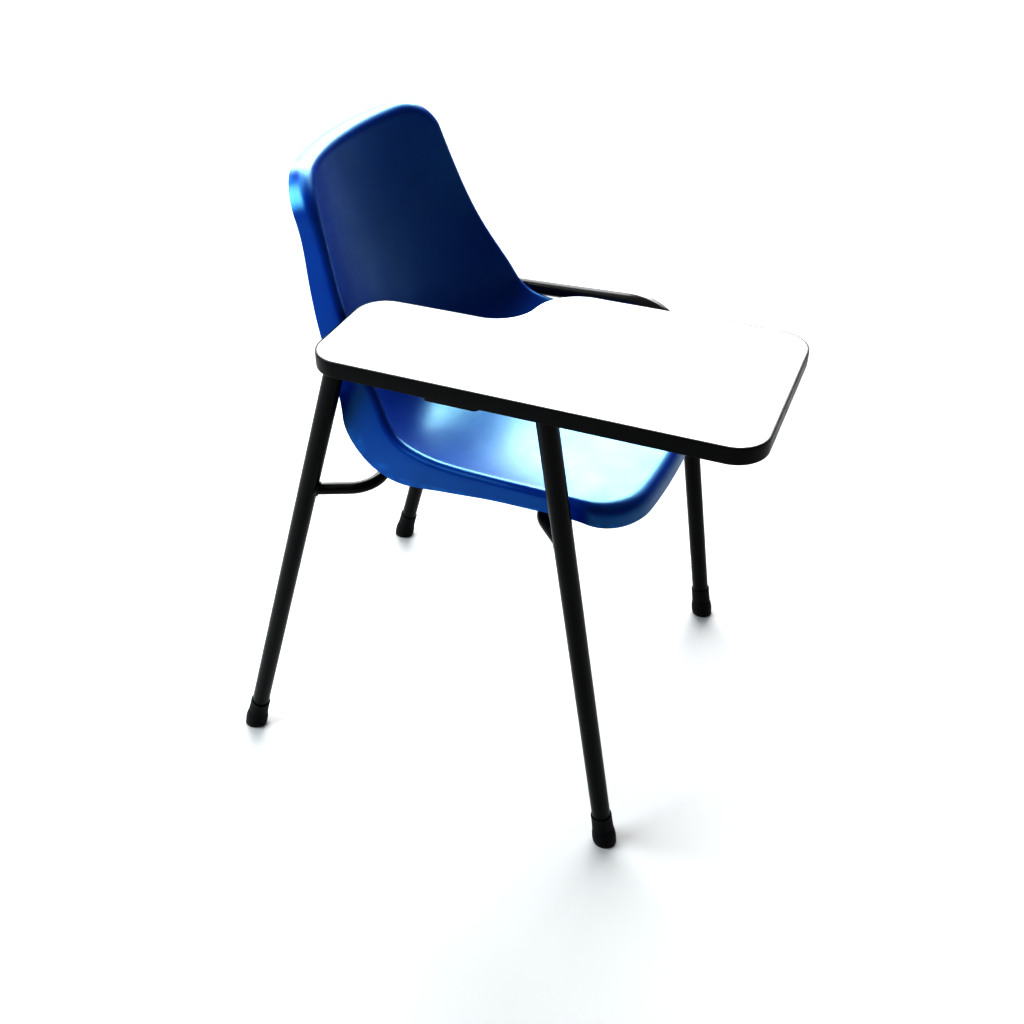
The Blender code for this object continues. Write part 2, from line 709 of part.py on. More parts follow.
# ---- foot tips ---------------------------------------------------------------
for side, sname in ((-1, "right"), (1, "left")):
    for end in ("front", "rear"):
        p0 = leg_line(side, end, 0.0)
        d = (leg_line(side, end, 0.1) - p0).normalized()
        tilt = d.angle(Vector((0, 0, 1)))
        floor_d = TIP_FLOOR + TUBE_R * math.tan(tilt)
        turn = Matrix.Translation(p0) @ Vector((0, 0, 1)).rotation_difference(d).to_matrix().to_4x4()
        ri = TUBE_R + GAP
        prof = [(0, -0.012), (TIP_BULB_R - 0.0009, -0.012), (TIP_BULB_R - 0.0004, 0.003),
                (TIP_BULB_R, 0.008), (TIP_BULB_R - 0.0001, 0.013), (TIP_BULB_R - 0.0007, 0.018),
                (TIP_COLLAR_R + 0.0002, 0.023), (TIP_COLLAR_R, 0.026),
                (TIP_COLLAR_R - 0.0003, TIP_LEN - 0.0012), (TIP_COLLAR_R - 0.0008, TIP_LEN - 0.0002),
                (TIP_COLLAR_R - 0.0011, TIP_LEN), (ri, TIP_LEN), (ri, floor_d), (0, floor_d)]
        bm = lathe(prof, 18)
        bmesh.ops.transform(bm, matrix=turn, verts=bm.verts)
        bmesh.ops.bisect_plane(bm, geom=bm.verts[:] + bm.edges[:] + bm.faces[:], dist=1e-7,
                               plane_co=(0, 0, 0), plane_no=(0, 0, -1), clear_outer=True)
        bmesh.ops.holes_fill(bm, edges=[e for e in bm.edges if len(e.link_faces) == 1], sides=0)
        add_mesh("foot_tip_%s_%s" % (end, sname), bm, RUBBER, angle=40)
        bm = lathe(((0, floor_d + GAP), (0.0104, floor_d + GAP), (0.0104, floor_d + GAP + 0.0016),
                    (0, floor_d + GAP + 0.0016)), 18)
        bmesh.ops.transform(bm, matrix=turn, verts=bm.verts)
        add_mesh("tip_washer_%s_%s" % (end, sname), bm, ZINC, angle=30)

# ---- tablet carrier ------------------------------------------------------------
leg_f = leg_line(-1, 'front', LEG_TOP)
leg_r = leg_line(-1, 'rear', LEG_TOP)
PLATES = {"tablet_front_plate": (-0.2500, -0.0750, leg_f.y - 0.0230, leg_f.y + 0.0230),
          "tablet_middle_plate": (TABLET_X0 + 0.0010, -0.1400, -0.1060, -0.0460),
          "tablet_rear_plate": (-0.2300, -0.1470, 0.0340, 0.0828)}
yf = leg_f.y
SCREWS = {"tablet_front_plate": [(-0.190, yf - 0.012), (-0.190, yf + 0.012), (-0.095, yf)],
          "tablet_middle_plate": [(-0.180, -0.091), (-0.180, -0.061)],
          "tablet_rear_plate": [(-0.178, 0.043), (-0.178, 0.067), (-0.157, 0.055)]}
SCREW_R = 0.0019
ALL = [p for v in SCREWS.values() for p in v]
for nm, (x0, x1, y0, y1) in PLATES.items():
    plate = add_mesh(nm, prism(rounded_box((x0 + x1) / 2, (y0 + y1) / 2, (x1 - x0) / 2, (y1 - y0) / 2, 0.006),
                               PLATE_TOP - PLATE_T, PLATE_TOP), STEEL, angle=30)
    boolean(plate, rod_cutter("cut_" + nm, SCREWS[nm], SCREW_R + GAP, PLATE_TOP - PLATE_T - 0.002,
                              PLATE_TOP + 0.002))
    for k, (x, y) in enumerate(SCREWS[nm]):
        add_mesh("tablet_screw_%s_%d" % (nm.split("_")[1], k + 1),
                 headed_pin(x, y, PLATE_TOP - PLATE_T - GAP, 0.0080, 0.0026,
                            BOARD_BOTTOM + 0.0115, SCREW_R, False), ZINC, angle=25)

# fore-and-aft strap between the two leg tops, just inboard of their axes
a = Vector((leg_f.x + 0.005, leg_f.y, 0))
b = Vector((leg_r.x + 0.002, leg_r.y, 0))
u = (b - a).normalized()
w = Vector((-u.y, u.x, 0)) * (STRAP_W * 0.42)
e0, e1 = a + u * (TUBE_R + 0.0022), b - u * (TUBE_R + 0.0026)
outline = [(q.x, q.y) for q in (e0 + w, e0 - w, e1 - w, e1 + w)]
add_mesh("tablet_strap", prism(outline, LEG_TOP - PLATE_T, LEG_TOP), STEEL, angle=30)

# ---- writing tablet --------------------------------------------------------------
z0, z1 = BOARD_BOTTOM, TABLET_TOP
inner = tablet_outline(BAND_T)
bm = bmesh.new()
loops = []
for inset, z in ((BAND_T, z0), (0.0007, z0), (0.0, z0 + 0.0008), (0.0, z1 - 0.0008), (0.0007, z1), (BAND_T, z1)):
    loops.append([bm.verts.new((x, y, z)) for x, y in tablet_outline(inset)])
for la, lb in zip(loops, loops[1:] + loops[:1]):
    n = len(la)
    for k in range(n):
        k2 = (k + 1) % n
        bm.faces.new((la[k], la[k2], lb[k2], lb[k]))
add_mesh("tablet_edge_band", bm, BAND, angle=30)
fit = tablet_outline(BAND_T + GAP)
core = add_mesh("tablet_core", prism(fit, z0 + SKIN_T + GAP, z1 - SKIN_T - GAP), BOARD, angle=30)
boolean(core, rod_cutter("cut_core", ALL, SCREW_R + GAP, z0, z0 + 0.0120))
add_mesh("tablet_laminate", prism(fit, z1 - SKIN_T, z1), LAMINATE, angle=30)
back = add_mesh("tablet_backing_sheet", prism(fit, z0, z0 + SKIN_T), BACKER, angle=30)
boolean(back, rod_cutter("cut_backing", ALL, SCREW_R + GAP, z0 - 0.002, z0 + 0.004))

# ---- common origin: under the middle of the bounding box ----------------------------
# the tablet edge sets -X and -Y, the left foot tips set +X, the rear tips set +Y
bpy.context.view_layer.update()
deps = bpy.context.evaluated_depsgraph_get()
lo, hi = Vector((9, 9, 9)), Vector((-9, -9, -9))
for ob in OBJECTS:
    if ob.hide_render:
        continue
    me = ob.evaluated_get(deps).data
    for v in me.vertices:
        c = ob.matrix_world @ v.co
        lo = Vector(map(min, lo, c))
        hi = Vector(map(max, hi, c))
CENTRE = Vector(((lo.x + hi.x) / 2, (lo.y + hi.y) / 2, lo.z))
for ob in OBJECTS:
    ob.location = ob.location - CENTRE
bpy.context.view_layer.update()
print("box", [round(c, 4) for c in (hi - lo)], "centre", [round(c, 5) for c in CENTRE])
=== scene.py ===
# Student desk chair: finished surfaces, materials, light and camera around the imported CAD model.
import bpy
import bmesh
import math
import numpy as np
from mathutils import Vector, Matrix


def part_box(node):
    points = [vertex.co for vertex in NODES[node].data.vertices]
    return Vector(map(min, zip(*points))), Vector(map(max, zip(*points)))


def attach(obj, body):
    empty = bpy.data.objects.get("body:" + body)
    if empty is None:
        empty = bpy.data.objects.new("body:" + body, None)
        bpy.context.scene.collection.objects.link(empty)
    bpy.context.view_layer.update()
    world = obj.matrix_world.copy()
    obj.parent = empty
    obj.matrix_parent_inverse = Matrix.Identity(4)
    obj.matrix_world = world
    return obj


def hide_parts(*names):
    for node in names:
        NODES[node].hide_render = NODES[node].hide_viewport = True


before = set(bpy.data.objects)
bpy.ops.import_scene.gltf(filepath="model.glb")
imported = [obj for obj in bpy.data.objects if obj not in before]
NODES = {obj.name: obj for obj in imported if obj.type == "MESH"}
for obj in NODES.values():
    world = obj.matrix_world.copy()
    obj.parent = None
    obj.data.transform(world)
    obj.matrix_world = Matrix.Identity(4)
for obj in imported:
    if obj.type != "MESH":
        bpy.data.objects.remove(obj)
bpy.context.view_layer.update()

# fineness of the seat moulding, seat bar heights at the legs, light levels
SHELL_NA, SHELL_NB = 44, 76
BAR_Z = (0.4385, 0.4160)
WORLD = 0.14
SUNS = (
    # name, strength, angular width in degrees, direction towards it
    ("window_left_rear", 4.9, 54.0, (0.735, 0.346, 0.583)),
    ("window_left", 0.9, 44.0, (0.735, -0.060, 0.676)),
    ("overhead", 0.70, 36.0, (-0.020, 0.350, 0.937)),
)
LIGHTS = (
    # name, where, aim, size, power, colour, second size
    ("right_rim", (-1.15, 1.65, 2.00), (-0.15, 0.10, 0.65), 1.7, 62.0, (0.90, 0.98, 1.0), 1.3),
)

# ---------------------------------------------------------------- dimensions
GAP = 0.0003                     # clearance kept between touching pieces

# tubular frame
TUBE_OD = 0.0222                 # leg tube, 7/8 in
TUBE_WALL = 0.0015
BAR_OD = 0.0140                  # seat bar
BAR_WALL = 0.0016
FOOT_X = 0.2290                  # half the foot track
FOOT_Y = 0.2525                  # half the foot wheelbase
TOP_Z = 0.6130                   # reference height of the leg lines
FRONT_TOP = (0.2300, -0.1603)    # |x|, y of a front leg line at TOP_Z
REAR_TOP = (0.2050, 0.0770)      # |x|, y of a rear leg line at TOP_Z
ARM_Z = 0.4985                   # centre height of the low side rail
ARM_BEND = 0.088                 # centre-line bend radius of the side frame

# foot tips
TIP_COLLAR_R = 0.0128
TIP_BULB_R = 0.0146
TIP_LEN = 0.046
TIP_FLOOR = 0.009                # rubber under the tube end

# writing tablet (outline in plan)
TABLET_TOP = 0.6287
TABLET_T = 0.0182
TABLET_X0 = -0.2665              # outer long edge
TABLET_XN = -0.1215              # inner edge of the narrow part
TABLET_XW = -0.0350              # inner edge of the wide part
TABLET_YF = -0.3780              # front edge
TABLET_YR = 0.0850               # rear edge
TABLET_STEP_Y = -0.0935          # middle of the S-shaped step
TABLET_R = 0.034                 # corner radius
BAND_T = 0.0020                  # edge band thickness
SKIN_T = 0.0009                  # laminate thickness

# tablet carrier
PLATE_T = 0.0030
STRAP_W = 0.0240

# seat shell
SHELL_T = 0.0042
# side rim stations from the front lip to the top of the back: y, z, half width
RIM = ((-0.2300, 0.4765, 0.1860),
       (-0.1850, 0.4790, 0.1920),
       (-0.1250, 0.4835, 0.1960),
       (-0.0500, 0.4865, 0.1970),
       (-0.0080, 0.4915, 0.1950),
       (0.0200, 0.5010, 0.1905),
       (0.0370, 0.5190, 0.1855),
       (0.0520, 0.5480, 0.1790),
       (0.0880, 0.6150, 0.1650),
       (0.1175, 0.7000, 0.1475),
       (0.1346, 0.7525, 0.1355))
# centre line stations at the same places: y, z
MID = ((-0.2400, 0.4685),
       (-0.1900, 0.4660),
       (-0.1280, 0.4590),
       (-0.0500, 0.4520),
       (0.0120, 0.4490),
       (0.0560, 0.4610),
       (0.0860, 0.4920),
       (0.1050, 0.5400),
       (0.1280, 0.6150),
       (0.1540, 0.7000),
       (0.1672, 0.7515))
SEC_SEAT = 2.7                   # exponent of the dished seat section
SEC_BACK = 2.1                   # exponent of the back section
CORNER_T = 0.26                  # plan corner size, part of the half width
CORNER_S = 0.058                 # plan corner size, part of the length
FOLD_R_SIDE = 0.0075             # radius of the rim fold at the sides
FOLD_R_FRONT = 0.016             # at the front lip
FOLD_R_TOP = 0.013               # at the top of the back
# straight depth of the flange beyond the fold: place along the rim (0 front, 1 top), depth
FLANGE = ((0.00, 0.0100), (0.12, 0.0150), (0.25, 0.0175), (0.36, 0.0250), (0.46, 0.0410),
          (0.56, 0.0440), (0.66, 0.0310), (0.85, 0.0200), (1.00, 0.0110))
FLANGE_FLARE = math.radians(5.0)

BOSS_R = 0.0125
BOSS_SEATS = ((0.098, -0.124), (0.080, 0.043))   # |x|, y of the front and rear bosses

BOSS_DROP = {"front": 0.0085, "rear": 0.0238}         # boss length under the shell


def frame_at(d):
    d = Vector(d).normalized()
    ref = Vector((1, 0, 0)) if abs(d.x) < 0.8 else Vector((0, 0, 1))
    u = d.cross(ref).normalized()
    v = d.cross(u).normalized()
    return u, v


def sweep_tube(points, radius, inner=None, sides=20, end_n=None, end_p=None):
    """Tube along a path, solid or with an open bore.  The last ring can be
    slid along the path on to the plane through end_p with normal end_n."""
    pts = [Vector(p) for p in points]
    n = len(pts)
    tang = []
    for i in range(n):
        a = pts[max(i - 1, 0)]
        b = pts[min(i + 1, n - 1)]
        tang.append((b - a).normalized())
    u, v = frame_at(tang[0])
    frames = [(u, v)]
    for i in range(1, n):
        q = tang[i - 1].rotation_difference(tang[i])
        u = (q @ frames[-1][0]).normalized()
        u = (u - tang[i] * u.dot(tang[i])).normalized()
        frames.append((u, tang[i].cross(u).normalized()))
    bm = bmesh.new()
    walls = []
    for r in ([radius] if inner is None else [radius, inner]):
        rings = []
        for i, p in enumerate(pts):
            u, v = frames[i]
            ring = []
            for k in range(sides):
                a = 2 * math.pi * k / sides
                co = p + u * (r * math.cos(a)) + v * (r * math.sin(a))
                if i == n - 1 and end_n is not None:
                    m = Vector(end_n)
                    co = co + tang[-1] * ((Vector(end_p) - co).dot(m) / tang[-1].dot(m))
                ring.append(bm.verts.new(co))
            rings.append(ring)
        walls.append(rings)
        for i in range(n - 1):
            for k in range(sides):
                k2 = (k + 1) % sides
                bm.faces.new((rings[i][k], rings[i][k2], rings[i + 1][k2], rings[i + 1][k]))
    if inner is None:
        bm.faces.new(walls[0][0][::-1])
        bm.faces.new(walls[0][-1])
    else:
        for e in (0, -1):
            for k in range(sides):
                k2 = (k + 1) % sides
                bm.faces.new((walls[0][e][k], walls[0][e][k2], walls[1][e][k2], walls[1][e][k]))
    return bm


def lathe(profile, sides):
    """Closed body turned about Z from (radius, z) pairs, axis ends at radius 0."""
    bm = bmesh.new()
    rings = []
    for r, z in profile:
        if r <= 1e-9:
            rings.append([bm.verts.new((0, 0, z))])
        else:
            rings.append([bm.verts.new((r * math.cos(2 * math.pi * k / sides),
                                        r * math.sin(2 * math.pi * k / sides), z)) for k in range(sides)])
    closed = len(rings[0]) > 1
    pairs = list(zip(rings[:-1], rings[1:])) + ([(rings[-1], rings[0])] if closed else [])
    for a, b in pairs:
        for k in range(sides):
            k2 = (k + 1) % sides
            if len(a) == 1:
                bm.faces.new((a[0], b[k2], b[k]))
            elif len(b) == 1:
                bm.faces.new((a[k], a[k2], b[0]))
            else:
                bm.faces.new((a[k], a[k2], b[k2], b[k]))
    return bm


def prism(outline, z0, z1):
    """Upright slab on a plan outline (counter-clockwise points)."""
    bm = bmesh.new()
    lo = [bm.verts.new((x, y, z0)) for x, y in outline]
    hi = [bm.verts.new((x, y, z1)) for x, y in outline]
    n = len(outline)
    bm.faces.new(lo[::-1])
    bm.faces.new(hi)
    for i in range(n):
        j = (i + 1) % n
        bm.faces.new((lo[i], lo[j], hi[j], hi[i]))
    return bm


def arc_pts(centre, radius, a0, a1, n):
    return [(centre[0] + radius * math.cos(math.radians(a0 + (a1 - a0) * i / n)),
             centre[1] + radius * math.sin(math.radians(a0 + (a1 - a0) * i / n))) for i in range(n + 1)]


def rounded_path(corners, radii, seg):
    """Poly-line through corners with each inner corner replaced by an arc."""
    pts = [Vector(corners[0])]
    for i in range(1, len(corners) - 1):
        p, a, b = Vector(corners[i]), Vector(corners[i - 1]), Vector(corners[i + 1])
        da, db = (a - p).normalized(), (b - p).normalized()
        half = da.angle(db) / 2
        r = radii[i - 1]
        t = r / math.tan(half)
        centre = p + (da + db).normalized() * (r / math.sin(half))
        s = p + da * t - centre
        e = p + db * t - centre
        axis = s.cross(e).normalized()
        ang = s.angle(e)
        for k in range(seg + 1):
            pts.append(centre + Matrix.Rotation(ang * k / seg, 3, axis) @ s)
    pts.append(Vector(corners[-1]))
    return pts


def leg_line(side, end, z):
    top = FRONT_TOP if end == 'front' else REAR_TOP
    foot_y = -FOOT_Y if end == 'front' else FOOT_Y
    k = z / TOP_Z
    return Vector((side * (FOOT_X + (top[0] - FOOT_X) * k), foot_y + (top[1] - foot_y) * k, z))


# ------------------------------------------------------------ tablet outline
def tablet_outline(inset, seg=6):
    """Plan outline, counter-clockwise, offset inwards by inset."""
    x0, xn, xw = TABLET_X0 + inset, TABLET_XN - inset, TABLET_XW - inset
    yf, yr = TABLET_YF + inset, TABLET_YR - inset
    r = TABLET_R - inset
    pts = []
    pts += arc_pts((x0 + r, yf + r), r, 180, 270, seg)
    pts += arc_pts((xw - r, yf + r), r, 270, 360, seg)
    # S-shaped step: two arcs, the first convex, the second hollow
    r1, r2 = 0.052 - inset, 0.046 + inset
    cx1 = xw - r1
    cx2 = xn + r2
    dx = cx1 - cx2
    dist = r1 + r2
    dy = math.sqrt(max(dist * dist - dx * dx, 1e-8))
    ym = TABLET_STEP_Y
    c1 = (cx1, ym - dy * r1 / dist - 0.0)
    c2 = (cx2, ym + dy * r2 / dist)
    ang = math.degrees(math.atan2(c2[1] - c1[1], c2[0] - c1[0]))
    pts += arc_pts(c1, r1, 0, ang, seg)
    pts += arc_pts(c2, r2, ang - 180 + 360, 180, seg)[1:]
    pts += arc_pts((xn - r, yr - r), r, 0, 90, seg)
    pts += arc_pts((x0 + r, yr - r), r, 90, 180, seg)
    return pts


# ---------------------------------------------------------------- seat shell
def smooth_curve(table):
    """Natural parameter spline through the stations, parameter 0..1 by index."""
    data = np.array(table, float)
    n = len(data)
    a = np.zeros((n, n))
    b = np.zeros((n, data.shape[1]))
    a[0, 0] = a[-1, -1] = 1.0
    for i in range(1, n - 1):
        a[i, i - 1:i + 2] = (1.0, 4.0, 1.0)
        b[i] = 6.0 * (data[i + 1] - 2 * data[i] + data[i - 1])
    m = np.linalg.solve(a, b)

    def f(s):
        x = min(max(s, 0.0), 1.0) * (n - 1)
        i = min(int(x), n - 2)
        u = x - i
        w = 1.0 - u
        return (data[i] * w + data[i + 1] * u
                + m[i] * (w ** 3 - w) / 6.0 + m[i + 1] * (u ** 3 - u) / 6.0)
    return f


RIM_F = smooth_curve(RIM)
MID_F = smooth_curve(MID)
# parameter as a function of rim arc length
_S = np.linspace(0, 1, 401)
_L = np.array([0.5 * (RIM_F(s)[:2] + MID_F(s)) for s in _S])
_L = np.concatenate([[0], np.cumsum(np.linalg.norm(np.diff(_L, axis=0), axis=1))])
_L = _L / _L[-1]


def shell_surface(t, l):
    """Sitter-side surface: t across (-1..1), l along (0 front .. 1 top)."""
    s = float(np.interp(l, _L, _S))
    ry, rz, w = RIM_F(s)
    my, mz = MID_F(s)
    k = min(max((s - 0.35) / 0.3, 0.0), 1.0)
    k = k * k * (3 - 2 * k)
    e = SEC_SEAT + (SEC_BACK - SEC_SEAT) * k
    f = 1.0 - abs(t) ** e
    return np.array((w * t, ry + (my - ry) * f, rz + (mz - rz) * f))


def shell_domain(a, b):
    """Square (-1..1)^2 on to the round-cornered (t, l) domain."""
    ct, cs = CORNER_T, CORNER_S

    def side_pt(v):              # v -1..1 along the right edge, from corner middle to corner middle
        x = (v + 1) / 2
        q = 0.10                 # share of the edge's points that the half corner takes
        if x < q:
            g = x / q
            an = math.radians(-45 + 45 * g)
            return 1 - ct + ct * math.cos(an), cs + cs * math.sin(an)
        if x > 1 - q:
            g = (x - 1 + q) / q
            an = math.radians(45 * g)
            return 1 - ct + ct * math.cos(an), 1 - cs + cs * math.sin(an)
        g = (x - q) / (1 - 2 * q)
        return 1.0, cs + (1 - 2 * cs) * g

    def end_pt(v, top):          # v -1..1 along the front or top edge
        q = 0.13
        x = (v + 1) / 2
        if x < q:
            g = x / q
            an = math.radians(45 * (1 - g))
            t, c = -(1 - ct + ct * math.sin(an)), cs - cs * math.cos(an)
        elif x > 1 - q:
            g = (x - 1 + q) / q
            an = math.radians(45 * g)
            t, c = 1 - ct + ct * math.sin(an), cs - cs * math.cos(an)
        else:
            g = (x - q) / (1 - 2 * q)
            t, c = -(1 - ct) + 2 * (1 - ct) * g, 0.0
        return t, (1 - c) if top else c

    rt = np.array(side_pt(b))
    lt = np.array((-rt[0], rt[1]))
    bt = np.array(end_pt(a, False))
    tp = np.array(end_pt(a, True))
    u, v = (a + 1) / 2, (b + 1) / 2
    c = math.sqrt(0.5)
    k0 = np.array((1 - ct + ct * c, cs - cs * c))
    k1 = np.array((1 - ct + ct * c, 1 - cs + cs * c))
    corners = ((1 - u) * (1 - v) * np.array((-k0[0], k0[1])) + u * (1 - v) * k0
               + (1 - u) * v * np.array((-k1[0], k1[1])) + u * v * k1)
    return (1 - v) * bt + v * tp + (1 - u) * lt + u * rt - corners


def fall_direction(l):
    """Direction in which the rim flange runs: down at the seat, rearwards at the back."""
    s = float(np.interp(l, _L, _S))
    h = 0.012
    p, q = RIM_F(min(s + h, 1.0)), RIM_F(max(s - h, 0.0))
    ty, tz = p[0] - q[0], p[1] - q[1]
    n = math.hypot(ty, tz)
    return np.array((0.0, tz / n, -ty / n))


def shell_bm(na, nb, nf, ns):
    """Open sitter-side surface with its folded flange; the wall thickness is added after."""
    bm = bmesh.new()
    grid = []
    dom = []
    for j in range(nb + 1):
        row, drow = [], []
        for i in range(na + 1):
            t, l = shell_domain(-1 + 2 * i / na, -1 + 2 * j / nb)
            drow.append((t, l))
            row.append(bm.verts.new(shell_surface(t, l)))
        grid.append(row)
        dom.append(drow)
    for j in range(nb):
        for i in range(na):
            bm.faces.new((grid[j][i], grid[j][i + 1], grid[j + 1][i + 1], grid[j + 1][i]))
    loop = ([(0, i) for i in range(na)] + [(j, na) for j in range(nb)]
            + [(nb, i) for i in range(na, 0, -1)] + [(j, 0) for j in range(nb, 0, -1)])
    n = len(loop)
    pos = [np.array(grid[j][i].co) for j, i in loop]
    uv = [dom[j][i] for j, i in loop]
    # frames along the rim
    out, nor, tan = [], [], []
    for k in range(n):
        tg = pos[(k + 1) % n] - pos[k - 1]
        tg /= np.linalg.norm(tg)
        t, l = uv[k]
        e = 1e-3
        # surface normal from inside the domain
        ti, li = t * (1 - 0.004), min(max(l, 0.004), 0.996)
        du = shell_surface(ti + e, li) - shell_surface(ti - e, li)
        dv = shell_surface(ti, min(li + e, 1)) - shell_surface(ti, max(li - e, 0))
        nn = np.cross(du, dv)
        nn /= np.linalg.norm(nn)
        nn -= tg * nn.dot(tg)
        nn /= np.linalg.norm(nn)
        o = np.cross(tg, nn)
        tan.append(tg)
        nor.append(nn)
        out.append(o / np.linalg.norm(o))
    # smooth the frames a little round the loop
    for _ in range(3):
        nor = [(nor[k - 1] + 2 * nor[k] + nor[(k + 1) % n]) for k in range(n)]
        nor = [v / np.linalg.norm(v) for v in nor]
    for k in range(n):
        nor[k] = nor[k] - tan[k] * nor[k].dot(tan[k])
        nor[k] /= np.linalg.norm(nor[k])
        out[k] = np.cross(tan[k], nor[k])
    fall = [fall_direction(uv[k][1]) for k in range(n)]
    rings = [[grid[j][i] for j, i in loop]]
    rad, dep = [], []
    for k in range(n):
        t, l = uv[k]
        ft = max(0.0, 1 - l / 0.10)
        tp = max(0.0, 1 - (1 - l) / 0.10)
        ft, tp = ft * ft * (3 - 2 * ft), tp * tp * (3 - 2 * tp)
        r = FOLD_R_SIDE * (1 - ft) * (1 - tp) + FOLD_R_FRONT * ft + FOLD_R_TOP * tp
        rad.append(r)
        dep.append(float(np.interp(l, [q[0] for q in FLANGE], [q[1] for q in FLANGE])))
    for _ in range(4):
        rad = [(rad[k - 1] + 2 * rad[k] + rad[(k + 1) % n]) / 4 for k in range(n)]
        dep = [(dep[k - 1] + 2 * dep[k] + dep[(k + 1) % n]) / 4 for k in range(n)]
    ends, dirs = [], []
    for f in range(1, nf + 1):
        ring = []
        for k in range(n):
            d = fall[k] - tan[k] * fall[k].dot(tan[k])
            d /= np.linalg.norm(d)
            lean = out[k] - d * out[k].dot(d)
            lean /= np.linalg.norm(lean)
            d = d * math.cos(FLANGE_FLARE) + lean * math.sin(FLANGE_FLARE)
            phi = math.atan2(-d.dot(nor[k]), d.dot(out[k])) * f / nf
            p = pos[k] + rad[k] * (math.sin(phi) * out[k] - (1 - math.cos(phi)) * nor[k])
            ring.append(bm.verts.new(p))
            if f == nf:
                ends.append(p)
                dirs.append(d)
        rings.append(ring)
    for f in range(1, ns + 1):
        rings.append([bm.verts.new(ends[k] + dirs[k] * dep[k] * f / ns) for k in range(n)])
    for a, b in zip(rings[:-1], rings[1:]):
        for k in range(n):
            k2 = (k + 1) % n
            bm.faces.new((a[k2], a[k], b[k], b[k2]))
    bm.normal_update()
    return bm


def thicken(bm, t):
    """Close the open surface into a wall of thickness t on its hidden side."""
    bm.normal_update()
    verts = list(bm.verts)
    faces = list(bm.faces)
    edges = [e for e in bm.edges if len(e.link_faces) == 1]
    twin = {}
    for v in verts:
        # mean normal, stretched so that the wall keeps its thickness over folds
        nn = v.normal.copy()
        c = min((nn.dot(f.normal) for f in v.link_faces), default=1.0)
        twin[v] = bm.verts.new(v.co - nn * t / max(c, 0.8))
    for f in faces:
        bm.faces.new([twin[v] for v in reversed(f.verts)])
    for e in edges:
        f = e.link_faces[0]
        a, b = e.verts
        vs = list(f.verts)
        ia = vs.index(a)
        if vs[(ia + 1) % len(vs)] is b:
            bm.faces.new((b, a, twin[a], twin[b]))
        else:
            bm.faces.new((a, b, twin[b], twin[a]))


def solve_l(y, t):
    """Length parameter at which the seat part of the surface passes plan point y."""
    lo, hi = 0.05, 0.55
    for _ in range(50):
        m = (lo + hi) / 2
        if shell_surface(t, m)[1] < y:
            lo = m
        else:
            hi = m
    return (lo + hi) / 2


def seat_height(x, y):
    """Sitter-side height of the seat at plan point x, y."""
    t = x / 0.197
    for _ in range(20):
        l = solve_l(y, t)
        s = float(np.interp(l, _L, _S))
        t = x / RIM_F(s)[2]
    return shell_surface(t, solve_l(y, t))[2]


# ==================================================================== scene
LO = {n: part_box(n)[0] for n in NODES}
HI = {n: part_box(n)[1] for n in NODES}

# the geometry functions above work in the chair's own layout frame; OFF brings them to the row frame
OFF = Vector((LO["tablet_laminate"].x - (TABLET_X0 + BAND_T + GAP),
              LO["tablet_laminate"].y - (TABLET_YF + BAND_T + GAP),
              HI["tablet_laminate"].z - TABLET_TOP))

TUBE_R = TUBE_OD / 2
BAR_R = BAR_OD / 2
BOARD_BOTTOM = TABLET_TOP - TABLET_T
PLATE_TOP = BOARD_BOTTOM - GAP
STRAP_TOP = PLATE_TOP - PLATE_T - GAP
LEG_TOP = STRAP_TOP - PLATE_T - GAP


